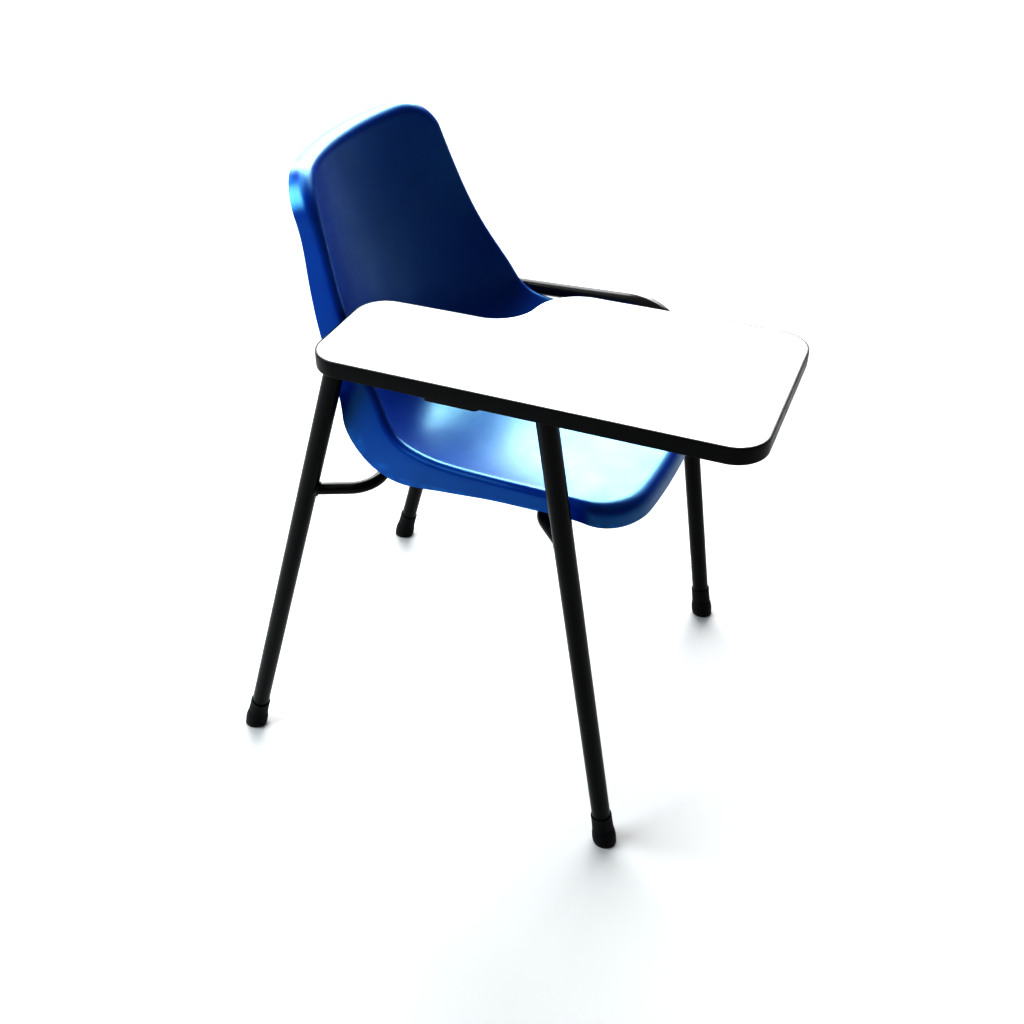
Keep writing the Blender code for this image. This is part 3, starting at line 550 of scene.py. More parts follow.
# ------------------------------------------------------------ node materials
class Mat:
    """Small helper around a node tree with one Principled shader."""

    def __init__(self, name):
        self.mat = bpy.data.materials.new(name)
        self.mat.use_nodes = True
        self.nt = self.mat.node_tree
        self.bsdf = self.nt.nodes["Principled BSDF"]
        self.tex = self.nt.nodes.new("ShaderNodeTexCoord")
        self.co = self.tex.outputs["Object"]

    def node(self, kind, **props):
        n = self.nt.nodes.new(kind)
        for k, v in props.items():
            setattr(n, k, v)
        return n

    def link(self, a, b):
        self.nt.links.new(a, b)

    def set(self, **kw):
        for k, v in kw.items():
            self.bsdf.inputs[k.replace("_", " ")].default_value = v

    def noise(self, scale, detail=3.0, rough=0.5, stretch=None, offset=None):
        n = self.node("ShaderNodeTexNoise")
        n.inputs["Scale"].default_value = scale
        n.inputs["Detail"].default_value = detail
        n.inputs["Roughness"].default_value = rough
        src = self.co
        if stretch or offset:
            m = self.node("ShaderNodeMapping")
            if stretch:
                m.inputs["Scale"].default_value = stretch
            if offset:
                m.inputs["Location"].default_value = offset
            self.link(src, m.inputs["Vector"])
            src = m.outputs["Vector"]
        self.link(src, n.inputs["Vector"])
        return n.outputs["Fac"]

    def voronoi(self, scale, feature="F1", stretch=None):
        n = self.node("ShaderNodeTexVoronoi", feature=feature)
        n.inputs["Scale"].default_value = scale
        src = self.co
        if stretch:
            m = self.node("ShaderNodeMapping")
            m.inputs["Scale"].default_value = stretch
            self.link(src, m.inputs["Vector"])
            src = m.outputs["Vector"]
        self.link(src, n.inputs["Vector"])
        return n

    def ramp(self, fac, stops):
        n = self.node("ShaderNodeValToRGB")
        el = n.color_ramp.elements
        while len(el) < len(stops):
            el.new(0.5)
        for e, (p, c) in zip(el, stops):
            e.position = p
            e.color = (*c, 1.0) if len(c) == 3 else c
        self.link(fac, n.inputs["Fac"])
        return n.outputs["Color"]

    def remap(self, fac, a, b, c, d):
        n = self.node("ShaderNodeMapRange")
        n.inputs["From Min"].default_value = a
        n.inputs["From Max"].default_value = b
        n.inputs["To Min"].default_value = c
        n.inputs["To Max"].default_value = d
        self.link(fac, n.inputs["Value"])
        return n.outputs["Result"]

    def math(self, op, a, b=None, clamp=False):
        n = self.node("ShaderNodeMath", operation=op, use_clamp=clamp)
        for i, v in enumerate((a, b)):
            if v is None:
                continue
            if isinstance(v, (int, float)):
                n.inputs[i].default_value = v
            else:
                self.link(v, n.inputs[i])
        return n.outputs[0]

    def mix(self, fac, a, b, mode="MIX"):
        n = self.node("ShaderNodeMix", data_type="RGBA", blend_type=mode)
        for sock, v in ((n.inputs["Factor"], fac), (n.inputs[6], a), (n.inputs[7], b)):
            if isinstance(v, (tuple, list)):
                sock.default_value = (*v, 1.0)
            elif isinstance(v, (int, float)):
                sock.default_value = v
            else:
                self.link(v, sock)
        return n.outputs[2]

    def bump(self, height, strength, distance, after=None):
        n = self.node("ShaderNodeBump")
        n.inputs["Strength"].default_value = strength
        n.inputs["Distance"].default_value = distance
        self.link(height, n.inputs["Height"])
        if after is not None:
            self.link(after, n.inputs["Normal"])
        return n.outputs["Normal"]

    def edges(self, lo=0.50, hi=0.56):
        """Worn convex edges from the mesh's pointiness."""
        g = self.node("ShaderNodeNewGeometry")
        return self.remap(g.outputs["Pointiness"], lo, hi, 0.0, 1.0)

    def color(self, sock):
        self.link(sock, self.bsdf.inputs["Base Color"])

    def rough(self, sock):
        self.link(sock, self.bsdf.inputs["Roughness"])

    def normal(self, sock):
        self.link(sock, self.bsdf.inputs["Normal"])


def make_plastic():
    m = Mat("poly_shell_blue")
    broad = m.noise(6.0, 3.0, 0.55)
    cloud = m.noise(38.0, 4.0, 0.6)
    base = m.ramp(broad, [(0.30, BLUE_LO), (0.70, BLUE_HI)])
    base = m.mix(m.remap(cloud, 0.35, 0.75, 0.0, 0.22), base, BLUE_PALE)
    # pale rubbed rim edges, broken up by noise
    worn = m.math("MULTIPLY", m.edges(0.515, 0.60), m.remap(m.noise(70.0, 3.0), 0.42, 0.70, 0.0, 0.30), True)
    base = m.mix(worn, base, BLUE_WORN)
    # faint scuffs running along the seat
    scuff = m.noise(26.0, 6.0, 0.75, stretch=(6.0, 0.7, 6.0))
    scuff = m.remap(scuff, 0.66, 0.74, 0.0, 0.16)
    base = m.mix(scuff, base, BLUE_WORN)
    m.color(base)
    r = m.remap(m.noise(22.0, 5.0, 0.65), 0.3, 0.75, 0.30, 0.42)
    m.rough(m.math("ADD", r, m.math("MULTIPLY", scuff, 0.35)))
    # leather-like moulded stipple, then fine spark-erosion grain
    v = m.voronoi(1050.0, "SMOOTH_F1")
    b1 = m.bump(v.outputs["Distance"], 0.16, 0.00022)
    b2 = m.bump(m.noise(2600.0, 2.0), 0.10, 0.00010, b1)
    b3 = m.bump(m.noise(9.0, 2.0), 0.05, 0.004, b2)
    m.normal(b3)
    m.bsdf.inputs["Specular IOR Level"].default_value = 1.0
    m.bsdf.inputs["Specular Tint"].default_value = (0.30, 0.93, 1.0, 1.0)
    m.bsdf.inputs["IOR"].default_value = 1.49
    return m.mat


def make_steel():
    m = Mat("powder_coat_black")
    peel = m.noise(900.0, 2.0, 0.5)
    dust = m.noise(14.0, 5.0, 0.65)
    base = m.ramp(dust, [(0.35, (0.0018, 0.0018, 0.0022)), (0.75, (0.0050, 0.0052, 0.0060))])
    chips = m.voronoi(150.0)
    chip = m.math("LESS_THAN", chips.outputs["Distance"], 0.085)
    chip = m.math("MULTIPLY", chip, m.remap(m.noise(30.0, 3.0), 0.58, 0.66, 0.0, 1.0), True)
    base = m.mix(m.math("MULTIPLY", chip, 0.55), base, (0.10, 0.10, 0.105))
    m.color(base)
    m.rough(m.remap(dust, 0.3, 0.8, 0.27, 0.38))
    b = m.bump(peel, 0.22, 0.00012)
    b = m.bump(m.noise(210.0, 2.0), 0.12, 0.0003, b)
    m.normal(b)
    m.bsdf.inputs["Specular IOR Level"].default_value = 0.26
    # painted highlight: a glossier coat on the side rail's top alone, standing in for the window light that falls there
    sep = m.node("ShaderNodeSeparateXYZ")
    m.link(m.co, sep.inputs[0])
    painted_rail_sheen = m.math("MULTIPLY", m.remap(sep.outputs["Z"], 0.40, 0.45, 0.0, 1.0),
                  m.remap(sep.outputs["X"], 0.205, 0.225, 0.0, 1.0), True)
    m.link(painted_rail_sheen, m.bsdf.inputs["Coat Weight"])
    m.bsdf.inputs["Coat IOR"].default_value = 2.1
    m.bsdf.inputs["Coat Roughness"].default_value = 0.22
    return m.mat


def make_weld():
    m = Mat("weld_bead_black")
    n = m.noise(500.0, 3.0)
    m.color(m.ramp(n, [(0.3, (0.006, 0.006, 0.007)), (0.8, (0.016, 0.016, 0.017))]))
    m.rough(m.remap(n, 0.3, 0.8, 0.28, 0.45))
    m.normal(m.bump(m.noise(1400.0, 3.0), 0.3, 0.0002))
    return m.mat


def make_rubber():
    m = Mat("tip_rubber_black")
    n = m.noise(120.0, 5.0, 0.65)
    base = m.ramp(n, [(0.3, (0.006, 0.006, 0.0062)), (0.8, (0.016, 0.016, 0.017))])
    # floor dust on the lowest few millimetres
    sep = m.node("ShaderNodeSeparateXYZ")
    m.link(m.co, sep.inputs[0])
    low = m.remap(sep.outputs["Z"], 0.0005, 0.0075, 1.0, 0.0)
    dust = m.math("MULTIPLY", low, m.remap(m.noise(260.0, 4.0), 0.35, 0.7, 0.05, 0.55), True)
    base = m.mix(dust, base, (0.11, 0.105, 0.095))
    m.color(base)
    m.rough(m.remap(n, 0.3, 0.8, 0.46, 0.62))
    m.normal(m.bump(m.noise(900.0, 3.0), 0.25, 0.00018))
    m.bsdf.inputs["Specular IOR Level"].default_value = 0.2
    return m.mat


def make_laminate():
    m = Mat("laminate_white")
    cloud = m.noise(5.0, 4.0, 0.6)
    base = m.ramp(cloud, [(0.30, (0.37, 0.42, 0.43)), (0.72, (0.43, 0.475, 0.485))])
    # fine printed fleck
    fleck = m.voronoi(1400.0)
    f = m.math("LESS_THAN", fleck.outputs["Distance"], 0.16)
    base = m.mix(m.math("MULTIPLY", f, 0.10), base, (0.55, 0.62, 0.66))
    # hairline scratches from writing, in two directions
    s1 = m.remap(m.noise(60.0, 5.0, 0.8, stretch=(0.5, 14.0, 1.0)), 0.69, 0.73, 0.0, 1.0)
    s2 = m.remap(m.noise(52.0, 5.0, 0.8, stretch=(12.0, 0.6, 1.0), offset=(0.3, 0.1, 0)), 0.70, 0.74, 0.0, 1.0)
    scr = m.math("MULTIPLY", m.math("MAXIMUM", s1, s2, True), 0.16)
    base = m.mix(scr, base, (0.60, 0.66, 0.70))
    # grey rubbed patches near the edge where arms lie
    grime = m.remap(m.noise(17.0, 6.0, 0.7), 0.60, 0.78, 0.0, 0.13)
    base = m.mix(grime, base, (0.55, 0.60, 0.62))
    m.color(base)
    r = m.remap(m.noise(30.0, 5.0, 0.65), 0.3, 0.75, 0.24, 0.36)
    m.rough(m.math("ADD", r, m.math("MULTIPLY", scr, 0.6)))
    b = m.bump(m.noise(700.0, 3.0, 0.6), 0.09, 0.00012)
    b = m.bump(m.noise(3.5, 2.0), 0.04, 0.006, b)
    m.normal(b)
    return m.mat


def make_band():
    m = Mat("edge_band_black")
    n = m.noise(45.0, 5.0, 0.65)
    base = m.ramp(n, [(0.3, (0.0018, 0.0018, 0.0022)), (0.8, (0.0055, 0.0055, 0.0068))])
    m.bsdf.inputs["Specular IOR Level"].default_value = 0.22
    worn = m.math("MULTIPLY", m.edges(0.53, 0.62), m.remap(m.noise(150.0, 4.0), 0.45, 0.72, 0.0, 0.22), True)
    base = m.mix(worn, base, (0.085, 0.085, 0.09))
    m.color(base)
    m.rough(m.remap(n, 0.3, 0.8, 0.30, 0.44))
    b = m.bump(m.noise(420.0, 3.0, 0.6, stretch=(1.0, 1.0, 9.0)), 0.10, 0.0002)
    m.normal(b)
    return m.mat


def make_backing():
    m = Mat("backing_sheet_grey")
    n = m.noise(9.0, 5.0, 0.6)
    base = m.ramp(n, [(0.3, (0.36, 0.355, 0.34)), (0.75, (0.46, 0.455, 0.44))])
    fib = m.noise(300.0, 4.0, 0.7, stretch=(1.0, 8.0, 1.0))
    base = m.mix(m.remap(fib, 0.45, 0.75, 0.0, 0.20), base, (0.27, 0.265, 0.25))
    m.color(base)
    m.rough(m.remap(n, 0.3, 0.8, 0.48, 0.62))
    m.normal(m.bump(fib, 0.12, 0.0002))
    return m.mat


def make_board():
    m = Mat("particle_board")
    v = m.voronoi(420.0, stretch=(1.0, 1.0, 2.2))
    n = m.noise(160.0, 5.0, 0.7)
    base = m.ramp(v.outputs["Color"], [(0.1, (0.30, 0.19, 0.09)), (0.5, (0.47, 0.33, 0.18)), (0.9, (0.62, 0.48, 0.29))])
    base = m.mix(m.remap(n, 0.4, 0.7, 0.0, 0.4), base, (0.36, 0.25, 0.14))
    m.color(base)
    m.rough(m.remap(n, 0.3, 0.8, 0.75, 0.92))
    m.normal(m.bump(v.outputs["Distance"], 0.5, 0.0006))
    return m.mat


def make_metal(name, lo, hi, rough):
    m = Mat(name)
    n = m.noise(900.0, 4.0, 0.6, stretch=(1.0, 1.0, 6.0))
    m.color(m.ramp(m.noise(90.0, 4.0), [(0.3, lo), (0.75, hi)]))
    m.rough(m.remap(n, 0.3, 0.8, rough, rough + 0.14))
    m.normal(m.bump(n, 0.15, 0.0001))
    m.bsdf.inputs["Metallic"].default_value = 1.0
    return m.mat


BLUE_LO = (0.0001, 0.021, 0.190)
BLUE_HI = (0.0001, 0.030, 0.245)
BLUE_PALE = (0.0002, 0.052, 0.330)
BLUE_WORN = (0.015, 0.24, 0.70)

M_PLASTIC = make_plastic()
M_STEEL = make_steel()
M_WELD = make_weld()
M_RUBBER = make_rubber()
M_LAM = make_laminate()
M_BAND = make_band()
M_BACK = make_backing()
M_BOARD = make_board()
M_ZINC = make_metal("zinc_plate", (0.50, 0.50, 0.47), (0.66, 0.66, 0.62), 0.26)
M_BRASS = make_metal("brass_insert", (0.62, 0.42, 0.15), (0.74, 0.54, 0.22), 0.28)


# ------------------------------------------------------------ piece helpers
def piece(name, bm, mat, smooth_angle=40.0, replaces=(), recalc=True, offset=True):
    if recalc:
        bmesh.ops.recalc_face_normals(bm, faces=bm.faces)
    if offset:
        bmesh.ops.translate(bm, verts=bm.verts, vec=OFF)
    me = bpy.data.meshes.new(name)
    bm.to_mesh(me)
    bm.free()
    ob = bpy.data.objects.new(name, me)
    bpy.context.scene.collection.objects.link(ob)
    me.materials.append(mat)
    me.shade_smooth()
    me.set_sharp_from_angle(angle=math.radians(smooth_angle))
    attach(ob, "root")
    if replaces:
        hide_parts(*replaces)
    return ob


def bevel_mod(ob, width, segs=3, angle=30.0):
    b = ob.modifiers.new("soft_edges", "BEVEL")
    b.width = width
    b.segments = segs
    b.limit_method = 'ANGLE'
    b.angle_limit = math.radians(angle)
    b.use_clamp_overlap = True
    b.harden_normals = True
    return b


def refine(node, mat, width=0.0004, segs=2, smooth=40.0):
    """Welded, clean copy of a CAD node with softly rounded edges."""
    bm = bmesh.new()
    bm.from_mesh(NODES[node].data)
    bmesh.ops.remove_doubles(bm, verts=bm.verts, dist=1e-6)
    bmesh.ops.dissolve_limit(bm, angle_limit=math.radians(1.0), verts=bm.verts, edges=bm.edges)
    ob = piece(node + "_finished", bm, mat, smooth, (node,), offset=False)
    bevel_mod(ob, width, segs)
    return ob


def bar_path(end, z_leg, z_mid, y_mid, x_run, radius, seg):
    a = leg_line(-1, end, z_leg)
    b = leg_line(1, end, z_leg)
    return rounded_path([a, Vector((-x_run, y_mid, z_mid)), Vector((x_run, y_mid, z_mid)), b],
                        [radius, radius], seg)


def closest_on_path(p, path):
    """Nearest point of a poly-line."""
    best, bd = None, 1e9
    for a, b in zip(path[:-1], path[1:]):
        ab = b - a
        t = max(0.0, min(1.0, (p - a).dot(ab) / max(ab.length_squared, 1e-12)))
        q = a + ab * t
        d = (p - q).length
        if d < bd:
            best, bd = q, d
    return best, bd


def bead(points, radius, closed, ripple=0.16, pitch=0.0022, sides=10):
    """Weld bead: a rippled round section carried along a curve."""
    pts = [Vector(p) for p in points]
    n = len(pts)
    run = 0.0
    bm = bmesh.new()
    rings = []
    prev_u = None
    for i, p in enumerate(pts):
        if closed:
            t = (pts[(i + 1) % n] - pts[i - 1]).normalized()
        else:
            t = (pts[min(i + 1, n - 1)] - pts[max(i - 1, 0)]).normalized()
        if prev_u is None:
            u, v = frame_at(t)
        else:
            u = (prev_u - t * prev_u.dot(t)).normalized()
            v = t.cross(u).normalized()
        prev_u = u
        if i:
            run += (p - pts[i - 1]).length
        r = radius * (1 + ripple * (abs(math.sin(math.pi * run / pitch)) - 0.5)
                      + 0.06 * math.sin(run * 700.0) + 0.05 * math.sin(run * 1530.0 + 1.0))
        if not closed and i in (0, n - 1):
            r *= 0.35
        rings.append([bm.verts.new(p + u * (r * math.cos(2 * math.pi * k / sides))
                                   + v * (r * math.sin(2 * math.pi * k / sides))) for k in range(sides)])
    pairs = list(zip(rings[:-1], rings[1:]))
    for a, b in pairs:
        for k in range(sides):
            k2 = (k + 1) % sides
            bm.faces.new((a[k], a[k2], b[k2], b[k]))
    if closed:
        # best rotation between the last and the first ring
        a, b = rings[-1], rings[0]
        s = min(range(sides), key=lambda q: (a[0].co - b[q].co).length)
        for k in range(sides):
            bm.faces.new((a[k], a[(k + 1) % sides], b[(k + 1 + s) % sides], b[(k + s) % sides]))
    else:
        bm.faces.new(rings[0][::-1])
        bm.faces.new(rings[-1])
    return bm


def saddle(bar_end, bar_dir, path, bar_r, tube_r, n=72):
    """Curve where a bar meets the side of a tube that follows path."""
    u, v = frame_at(bar_dir)
    out = []
    for k in range(n):
        an = 2 * math.pi * k / n
        base = bar_end + (u * math.cos(an) + v * math.sin(an)) * bar_r
        lo, hi = 0.0, 0.05
        for _ in range(26):
            mid = (lo + hi) / 2
            _, d = closest_on_path(base + bar_dir * mid, path)
            if d < tube_r:
                lo = mid
            else:
                hi = mid
        out.append(base + bar_dir * ((lo + hi) / 2))
    return out


# ------------------------------------------------------------ seat shell
shell_open = shell_bm(SHELL_NA, SHELL_NB, 7, 4)
thicken(shell_open, SHELL_T)
bmesh.ops.recalc_face_normals(shell_open, faces=shell_open.faces)
me = bpy.data.meshes.new("shell_work")
shell_open.to_mesh(me)
shell_open.free()
work = bpy.data.objects.new("shell_work", me)
bpy.context.scene.collection.objects.link(work)
tools = []


def tool(bm, op):
    bmesh.ops.recalc_face_normals(bm, faces=bm.faces)
    m2 = bpy.data.meshes.new("tool")
    bm.to_mesh(m2)
    bm.free()
    o = bpy.data.objects.new("tool", m2)
    bpy.context.scene.collection.objects.link(o)
    md = work.modifiers.new("b", 'BOOLEAN')
    md.operation = op
    md.solver = 'EXACT'
    md.object = o
    tools.append(o)


FRONT_BOSS, REAR_BOSS = BOSS_SEATS
BOSS_Z = {}
INSERT_L = 0.0080
INSERT_R = 0.0045
for (bx, by), tag in ((FRONT_BOSS, "front"), (REAR_BOSS, "rear")):
    BOSS_Z[tag] = seat_height(bx, by) - SHELL_T - BOSS_DROP[tag]
for sx in (-1, 1):
    for (bx, by), tag in ((FRONT_BOSS, "front"), (REAR_BOSS, "rear")):
        zb = BOSS_Z[tag]
        zt = seat_height(bx, by) - SHELL_T * 0.5
        bm = lathe(((0, zb), (BOSS_R - 0.0006, zb), (BOSS_R, zb + 0.0006), (BOSS_R + 0.0006, zb + 0.006),
                    (BOSS_R + 0.0016, zb + 0.0080), (BOSS_R + 0.0034, zt - 0.0012), (BOSS_R + 0.0045, zt), (0, zt)), 48)
        bmesh.ops.translate(bm, verts=bm.verts, vec=(sx * bx, by, 0))
        for v in bm.verts:                       # the top follows the middle of the shell's wall
            if v.co.z > zt - 0.0013:
                drop = zt - v.co.z
                v.co.z = seat_height(abs(v.co.x), v.co.y) - SHELL_T * 0.5 - drop
        tool(bm, 'UNION')
        # four gussets
        for q in range(4):
            an = math.radians(45 + 90 * q)
            c, s = math.cos(an), math.sin(an)
            th = 0.0011
            r0, r1 = BOSS_R - 0.002, BOSS_R + 0.016
            bm = bmesh.new()
            prof = [(r0, zb + 0.0022), (BOSS_R + 0.0025, zb + 0.0022)]
            for g in range(5):
                r = BOSS_R + 0.0035 + (r1 - BOSS_R - 0.0035) * g / 4
                hx, hy = sx * bx + c * r, by + s * r
                under = seat_height(abs(hx), hy) - SHELL_T
                prof.append((r, zb + 0.0022 + (under - 0.0012 - zb - 0.0022) * (g / 4) ** 0.7))
            for g in range(5):
                r = r1 + (r0 - r1) * g / 4
                hx, hy = sx * bx + c * r, by + s * r
                prof.append((r, seat_height(abs(hx), hy) - SHELL_T * 0.62))
            rows = []
            for side in (-th, th):
                rows.append([bm.verts.new((sx * bx + c * r - s * side, by + s * r + c * side, z)) for r, z in prof])
            m = len(prof)
            bm.faces.new(rows[0])
            bm.faces.new(rows[1][::-1])
            for i in range(m):
                j = (i + 1) % m
                bm.faces.new((rows[0][j], rows[0][i], rows[1][i], rows[1][j]))
            tool(bm, 'UNION')
for sx in (-1, 1):
    for (bx, by), tag in ((FRONT_BOSS, "front"), (REAR_BOSS, "rear")):
        zb = BOSS_Z[tag]
        bm = lathe(((0, zb - 0.004), (INSERT_R + GAP, zb - 0.004),
                    (INSERT_R + GAP, zb + INSERT_L + GAP), (0, zb + INSERT_L + GAP)), 32)
        bmesh.ops.translate(bm, verts=bm.verts, vec=(sx * bx, by, 0))
        tool(bm, 'DIFFERENCE')
# injection gate mark under the middle of the seat
gz = seat_height(0.0005, -0.060) - SHELL_T
bm = lathe(((0, gz - 0.0022), (0.0016, gz - 0.0022), (0.0022, gz - 0.0008), (0.0085, gz - 0.0007),
            (0.0095, gz + 0.0012), (0, gz + 0.0015)), 36)
bmesh.ops.translate(bm, verts=bm.verts, vec=(0, -0.060, 0))
tool(bm, 'UNION')
bpy.context.view_layer.update()
final = bpy.data.meshes.new_from_object(work.evaluated_get(bpy.context.evaluated_depsgraph_get()))
for o in tools + [work]:
    bpy.data.objects.remove(o)
bm = bmesh.new()
bm.from_mesh(final)
bmesh.ops.remove_doubles(bm, verts=bm.verts, dist=1e-6)
shell = piece("seat_shell_finished", bm, M_PLASTIC, 48.0, ("seat_shell",))
bevel_mod(shell, 0.0011, 3, 60.0)

# ------------------------------------------------------------ tubes
def tube_foot(side, end):
    p0, p1 = leg_line(side, end, 0.0), leg_line(side, end, 0.1)
    d = (p1 - p0).normalized()
    return p0 + d * (TIP_FLOOR + 0.0016 + 2 * GAP + TUBE_R * math.tan(d.angle(Vector((0, 0, 1))))), d


leg_paths = {}
for end, nm in (('front', "right_front_leg"), ('rear', "right_rear_leg")):
    p, d = tube_foot(-1, end)
    q = leg_line(-1, end, LEG_TOP)
    pts = [p.lerp(q, k / 12) for k in range(13)]
    leg_paths[end] = pts
    bm = sweep_tube(pts, TUBE_R, TUBE_R - TUBE_WALL, 44, end_n=(0, 0, 1), end_p=(0, 0, LEG_TOP))
    ob = piece(nm + "_finished", bm, M_STEEL, 40.0, (nm,))
    bevel_mod(ob, 0.0003, 2)
pf, _ = tube_foot(1, 'front')
pr, _ = tube_foot(1, 'rear')
side_path = rounded_path([pf, leg_line(1, 'front', ARM_Z), leg_line(1, 'rear', ARM_Z), pr],
                         [ARM_BEND, ARM_BEND], 28)
ob = piece("left_side_frame_finished", sweep_tube(side_path, TUBE_R, TUBE_R - TUBE_WALL, 44), M_STEEL,
           40.0, ("left_side_frame",))
bevel_mod(ob, 0.0003, 2)

BAR_FRONT_Z, BAR_REAR_Z = BAR_Z
MOUNT_T = 0.0030
BOLT_OFFSET = 0.0190
mid_z = {t: BOSS_Z[t] - GAP - MOUNT_T - GAP - BAR_R for t in ("front", "rear")}
bar_y = {"front": FRONT_BOSS[1] - BOLT_OFFSET, "rear": REAR_BOSS[1] + BOLT_OFFSET}
bar_paths = {}
for nm, end, z_leg, run, rad in (("front_seat_bar", "front", BAR_FRONT_Z, 0.186, 0.036),
                                 ("rear_seat_bar", "rear", BAR_REAR_Z, 0.190, 0.034)):
    pth = bar_path(end, z_leg, mid_z[end], bar_y[end], run, rad, 18)
    bar_paths[end] = pth
    # start and stop just inside the leg tubes' skins, where the weld bead covers the joint
    for flip, leg in ((False, leg_paths[end]), (True, side_path)):
        seq = list(reversed(pth)) if flip else list(pth)
        d = (seq[1] - seq[0]).normalized()
        sad = saddle(seq[0], d, leg, BAR_R, TUBE_R)
        bd = bead(sad, 0.0021, True)
        piece("weld_%s_%s" % (nm, "left" if flip else "right"), bd, M_WELD, 60.0)
    t0 = (pth[1] - pth[0]).normalized()
    t1 = (pth[-2] - pth[-1]).normalized()
    pth2 = [pth[0] + t0 * (TUBE_R - 0.0008)] + pth[1:-1] + [pth[-1] + t1 * (TUBE_R - 0.0008)]
    bm = sweep_tube(pth2, BAR_R, BAR_R - BAR_WALL, 32)
    piece(nm + "_finished", bm, M_STEEL, 40.0, (nm,))

# weld runs beside the saddle plates, along the bars
for sx, side in ((-1, "right"), (1, "left")):
    for (bx, by), tag in ((FRONT_BOSS, "front"), (REAR_BOSS, "rear")):
        y = bar_y[tag]
        z = BOSS_Z[tag] - GAP - MOUNT_T - 0.0012
        for off, w in ((-1, "a"), (1, "b")):
            yy = y + off * 0.0042
            if abs(yy - (by + (-1 if tag == "front" else 1) * BOLT_OFFSET * 0.5)) > 0.0215:
                continue
            zz = z - (BAR_R - math.sqrt(BAR_R ** 2 - 0.0042 ** 2)) + 0.0006
            pts = [Vector((sx * bx - 0.0115 + 0.023 * k / 40, yy, zz)) for k in range(41)]
            piece("weld_plate_%s_%s_%s" % (tag, side, w), bead(pts, 0.0014, False), M_WELD, 60.0)

# weld round the two leg tops, under the tablet plates
for end in ("front", "rear"):
    c = leg_line(-1, end, LEG_TOP)
    d = (leg_line(-1, end, LEG_TOP) - leg_line(-1, end, LEG_TOP - 0.1)).normalized()
    pts = []
    for k in range(84):
        an = 2 * math.pi * k / 84
        x, y = math.cos(an), math.sin(an)
        # ellipse of the leaning tube's flat-cut end
        h = Vector((x, y, 0)) * TUBE_R
        s = Vector((x, y, 0)).dot(Vector((d.x, d.y, 0))) / d.z
        r = TUBE_R / math.sqrt(max(1e-6, 1 - (x * d.x + y * d.y) ** 2))
        pts.append(Vector((c.x + x * r, c.y + y * r, LEG_TOP - 0.0004)))
    piece("weld_leg_top_%s" % end, bead(pts, 0.0019, True), M_WELD, 60.0)

# ------------------------------------------------------------ foot tips
for side, sname in ((-1, "right"), (1, "left")):
    for end in ("front", "rear"):
        p0 = leg_line(side, end, 0.0)
        d = (leg_line(side, end, 0.1) - p0).normalized()
        tilt = d.angle(Vector((0, 0, 1)))
        floor_d = TIP_FLOOR + TUBE_R * math.tan(tilt)
        turn = Matrix.Translation(p0) @ Vector((0, 0, 1)).rotation_difference(d).to_matrix().to_4x4()
        ri = TUBE_R + GAP
        B, K, L = TIP_BULB_R, TIP_COLLAR_R, TIP_LEN
        prof = [(0, -0.012), (B - 0.0009, -0.012), (B - 0.0004, 0.003), (B - 0.0001, 0.0055), (B, 0.008),
                (B - 0.00005, 0.0105), (B - 0.0002, 0.013), (B - 0.0005, 0.0158), (B - 0.0009, 0.0182),
                (K + 0.0005, 0.0206), (K + 0.00015, 0.0222), (K - 0.0001, 0.0230), (K - 0.0004, 0.0234),
                (K - 0.00045, 0.0240), (K - 0.0001, 0.0246), (K + 0.0002, 0.0252), (K + 0.0002, 0.0262),
                (K, 0.0280), (K - 0.0001, 0.0340), (K - 0.00025, 0.0400), (K - 0.0003, L - 0.0026),
                (K - 0.0001, L - 0.0020), (K - 0.0001, L - 0.0010), (K - 0.0004, L - 0.0003),
                (K - 0.0009, L), (ri + 0.0003, L), (ri, L - 0.0004), (ri, floor_d + 0.0008),
                (ri - 0.0008, floor_d), (0, floor_d)]
        bm = lathe(prof, 56)
        bmesh.ops.transform(bm, matrix=turn, verts=bm.verts)
        bmesh.ops.bisect_plane(bm, geom=bm.verts[:] + bm.edges[:] + bm.faces[:], dist=1e-7,
                               plane_co=(0, 0, 0), plane_no=(0, 0, -1), clear_outer=True)
        rim = [e for e in bm.edges if len(e.link_faces) == 1]
        bmesh.ops.holes_fill(bm, edges=rim, sides=0)
        rim = [e for e in bm.edges if all(abs(v.co.z) < 1e-6 for v in e.verts)]
        bmesh.ops.bevel(bm, geom=rim, offset=0.0012, segments=3, profile=0.5, affect='EDGES')
        nm = "foot_tip_%s_%s" % (end, sname)
        piece(nm + "_finished", bm, M_RUBBER, 50.0, (nm,))

# ------------------------------------------------------------ tablet
z0, z1 = BOARD_BOTTOM, TABLET_TOP
bm = bmesh.new()
loops = []
R = 0.0010
prof = [(BAND_T, z0)]
for k in range(5):
    an = math.radians(90 * k / 4)
    prof.append((R - R * math.sin(an), z0 + R - R * math.cos(an)))
for k in range(1, 8):
    f = k / 8
    prof.append((-0.00022 * math.sin(math.pi * f), z0 + R + (z1 - z0 - 2 * R) * f))
for k in range(5):
    an = math.radians(90 * k / 4)
    prof.append((R - R * math.cos(an), z1 - R + R * math.sin(an)))
prof.append((BAND_T, z1))
for inset, z in prof:
    loops.append([bm.verts.new((x, y, z)) for x, y in tablet_outline(inset, 20)])
for la, lb in zip(loops, loops[1:] + loops[:1]):
    n = len(la)
    for k in range(n):
        k2 = (k + 1) % n
        bm.faces.new((la[k], la[k2], lb[k2], lb[k]))
piece("tablet_edge_band_finished", bm, M_BAND, 40.0, ("tablet_edge_band",))


def sheet_slab(name, mat, node, inset, za, zb, edge):
    ob = piece(name, prism(tablet_outline(inset, 20), za, zb), mat, 40.0, (node,))
    bevel_mod(ob, edge, 2)
    return ob


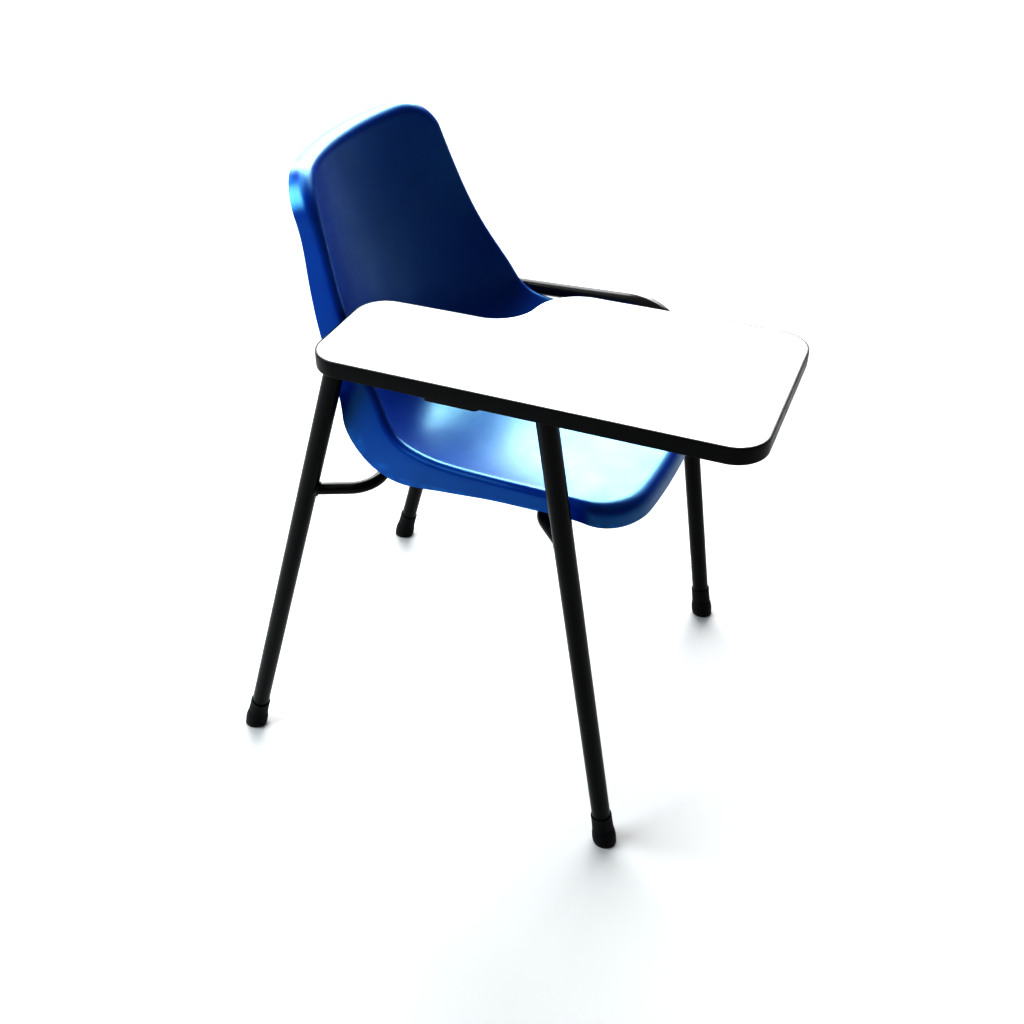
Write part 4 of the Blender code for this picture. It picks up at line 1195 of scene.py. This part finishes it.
fit = BAND_T + GAP * 0.5
sheet_slab("tablet_laminate_finished", M_LAM, "tablet_laminate", fit, z1 - SKIN_T, z1 - 0.00005, 0.00025)
sheet_slab("tablet_backing_finished", M_BACK, "tablet_backing_sheet", fit, z0 + 0.00005, z0 + SKIN_T, 0.00025)
core = NODES["tablet_core"]
core.data.materials.clear()
core.data.materials.append(M_BOARD)

# ------------------------------------------------------------ plates and hardware
for n in sorted(NODES):
    if n in ("tablet_front_plate", "tablet_middle_plate", "tablet_rear_plate", "tablet_strap") \
            or n.startswith("seat_mount_plate"):
        refine(n, M_STEEL, 0.0005, 2)
    elif n.startswith(("seat_bolt", "tablet_screw")):
        refine(n, M_ZINC, 0.00025, 2)
    elif n.startswith(("seat_washer", "tip_washer")):
        refine(n, M_ZINC, 0.0002, 2)
    elif n.startswith("seat_insert"):
        refine(n, M_BRASS, 0.0002, 1)

# ------------------------------------------------------------ floor, light, camera
def floor_material():
    m = Mat("floor_pale")
    n = m.noise(0.8, 3.0, 0.5)
    m.color(m.ramp(n, [(0.3, (0.385, 0.385, 0.385)), (0.7, (0.405, 0.405, 0.405))]))
    m.rough(m.remap(n, 0.3, 0.8, 0.75, 0.85))
    return m.mat


bm = bmesh.new()
bmesh.ops.create_grid(bm, x_segments=8, y_segments=8, size=14.0)
me = bpy.data.meshes.new("floor")
bm.to_mesh(me)
bm.free()
floor = bpy.data.objects.new("floor", me)
bpy.context.scene.collection.objects.link(floor)
me.materials.append(floor_material())

world = bpy.data.worlds.new("studio")
bpy.context.scene.world = world
world.use_nodes = True
bg = world.node_tree.nodes["Background"]
bg.inputs["Color"].default_value = (1.0, 1.0, 1.0, 1.0)
bg.inputs["Strength"].default_value = WORLD

CAM_AZ, CAM_EL, CAM_ROLL = (math.radians(v) for v in (-64.77, 35.64, -1.55))
CAM_DIST = 1.4791
CAM_F = 1187.79 / 1024 * 36.0
target = Vector((-0.05959, 0.01225, 0.3500)) + OFF
back = Vector((math.sin(CAM_AZ) * math.cos(CAM_EL), -math.cos(CAM_AZ) * math.cos(CAM_EL), math.sin(CAM_EL)))
right = (-back).cross(Vector((0, 0, 1))).normalized()
up = right.cross(-back)
rx = math.cos(CAM_ROLL) * right + math.sin(CAM_ROLL) * up
ry = -math.sin(CAM_ROLL) * right + math.cos(CAM_ROLL) * up
pos = target + back * CAM_DIST
cam = bpy.data.cameras.new("camera")
cam_ob = bpy.data.objects.new("camera", cam)
bpy.context.scene.collection.objects.link(cam_ob)
cam_ob.matrix_world = Matrix(((rx.x, ry.x, back.x, pos.x), (rx.y, ry.y, back.y, pos.y),
                              (rx.z, ry.z, back.z, pos.z), (0, 0, 0, 1)))
cam.sensor_width = 36.0
cam.lens = CAM_F
cam.shift_x = (512 - 459.55) / 1024
cam.shift_y = (487.29 - 512) / 1024
cam.clip_start = 0.02
bpy.context.scene.camera = cam_ob


def area(name, where, aim, size, power, color=(1, 1, 1), size_y=None):
    li = bpy.data.lights.new(name, 'AREA')
    li.energy = power
    li.color = color
    li.size = size
    if size_y:
        li.shape = 'RECTANGLE'
        li.size_y = size_y
    ob = bpy.data.objects.new(name, li)
    bpy.context.scene.collection.objects.link(ob)
    ob.location = where
    dirn = (Vector(aim) - Vector(where)).normalized()
    ob.rotation_euler = dirn.to_track_quat('-Z', 'Y').to_euler()
    return ob


for name, power, width, towards in SUNS:
    sun = bpy.data.lights.new(name, 'SUN')
    sun.energy = power
    sun.angle = math.radians(width)
    sun_ob = bpy.data.objects.new(name, sun)
    bpy.context.scene.collection.objects.link(sun_ob)
    sun_ob.rotation_euler = (-Vector(towards)).to_track_quat('-Z', 'Y').to_euler()

for name, where, aim, size, power, color, sy in LIGHTS:
    area(name, where, aim, size, power, color, sy)

vs = bpy.context.scene.view_settings
vs.view_transform = 'Standard'
vs.look = 'Very High Contrast'
vs.exposure = 0.0
vs.gamma = 1.0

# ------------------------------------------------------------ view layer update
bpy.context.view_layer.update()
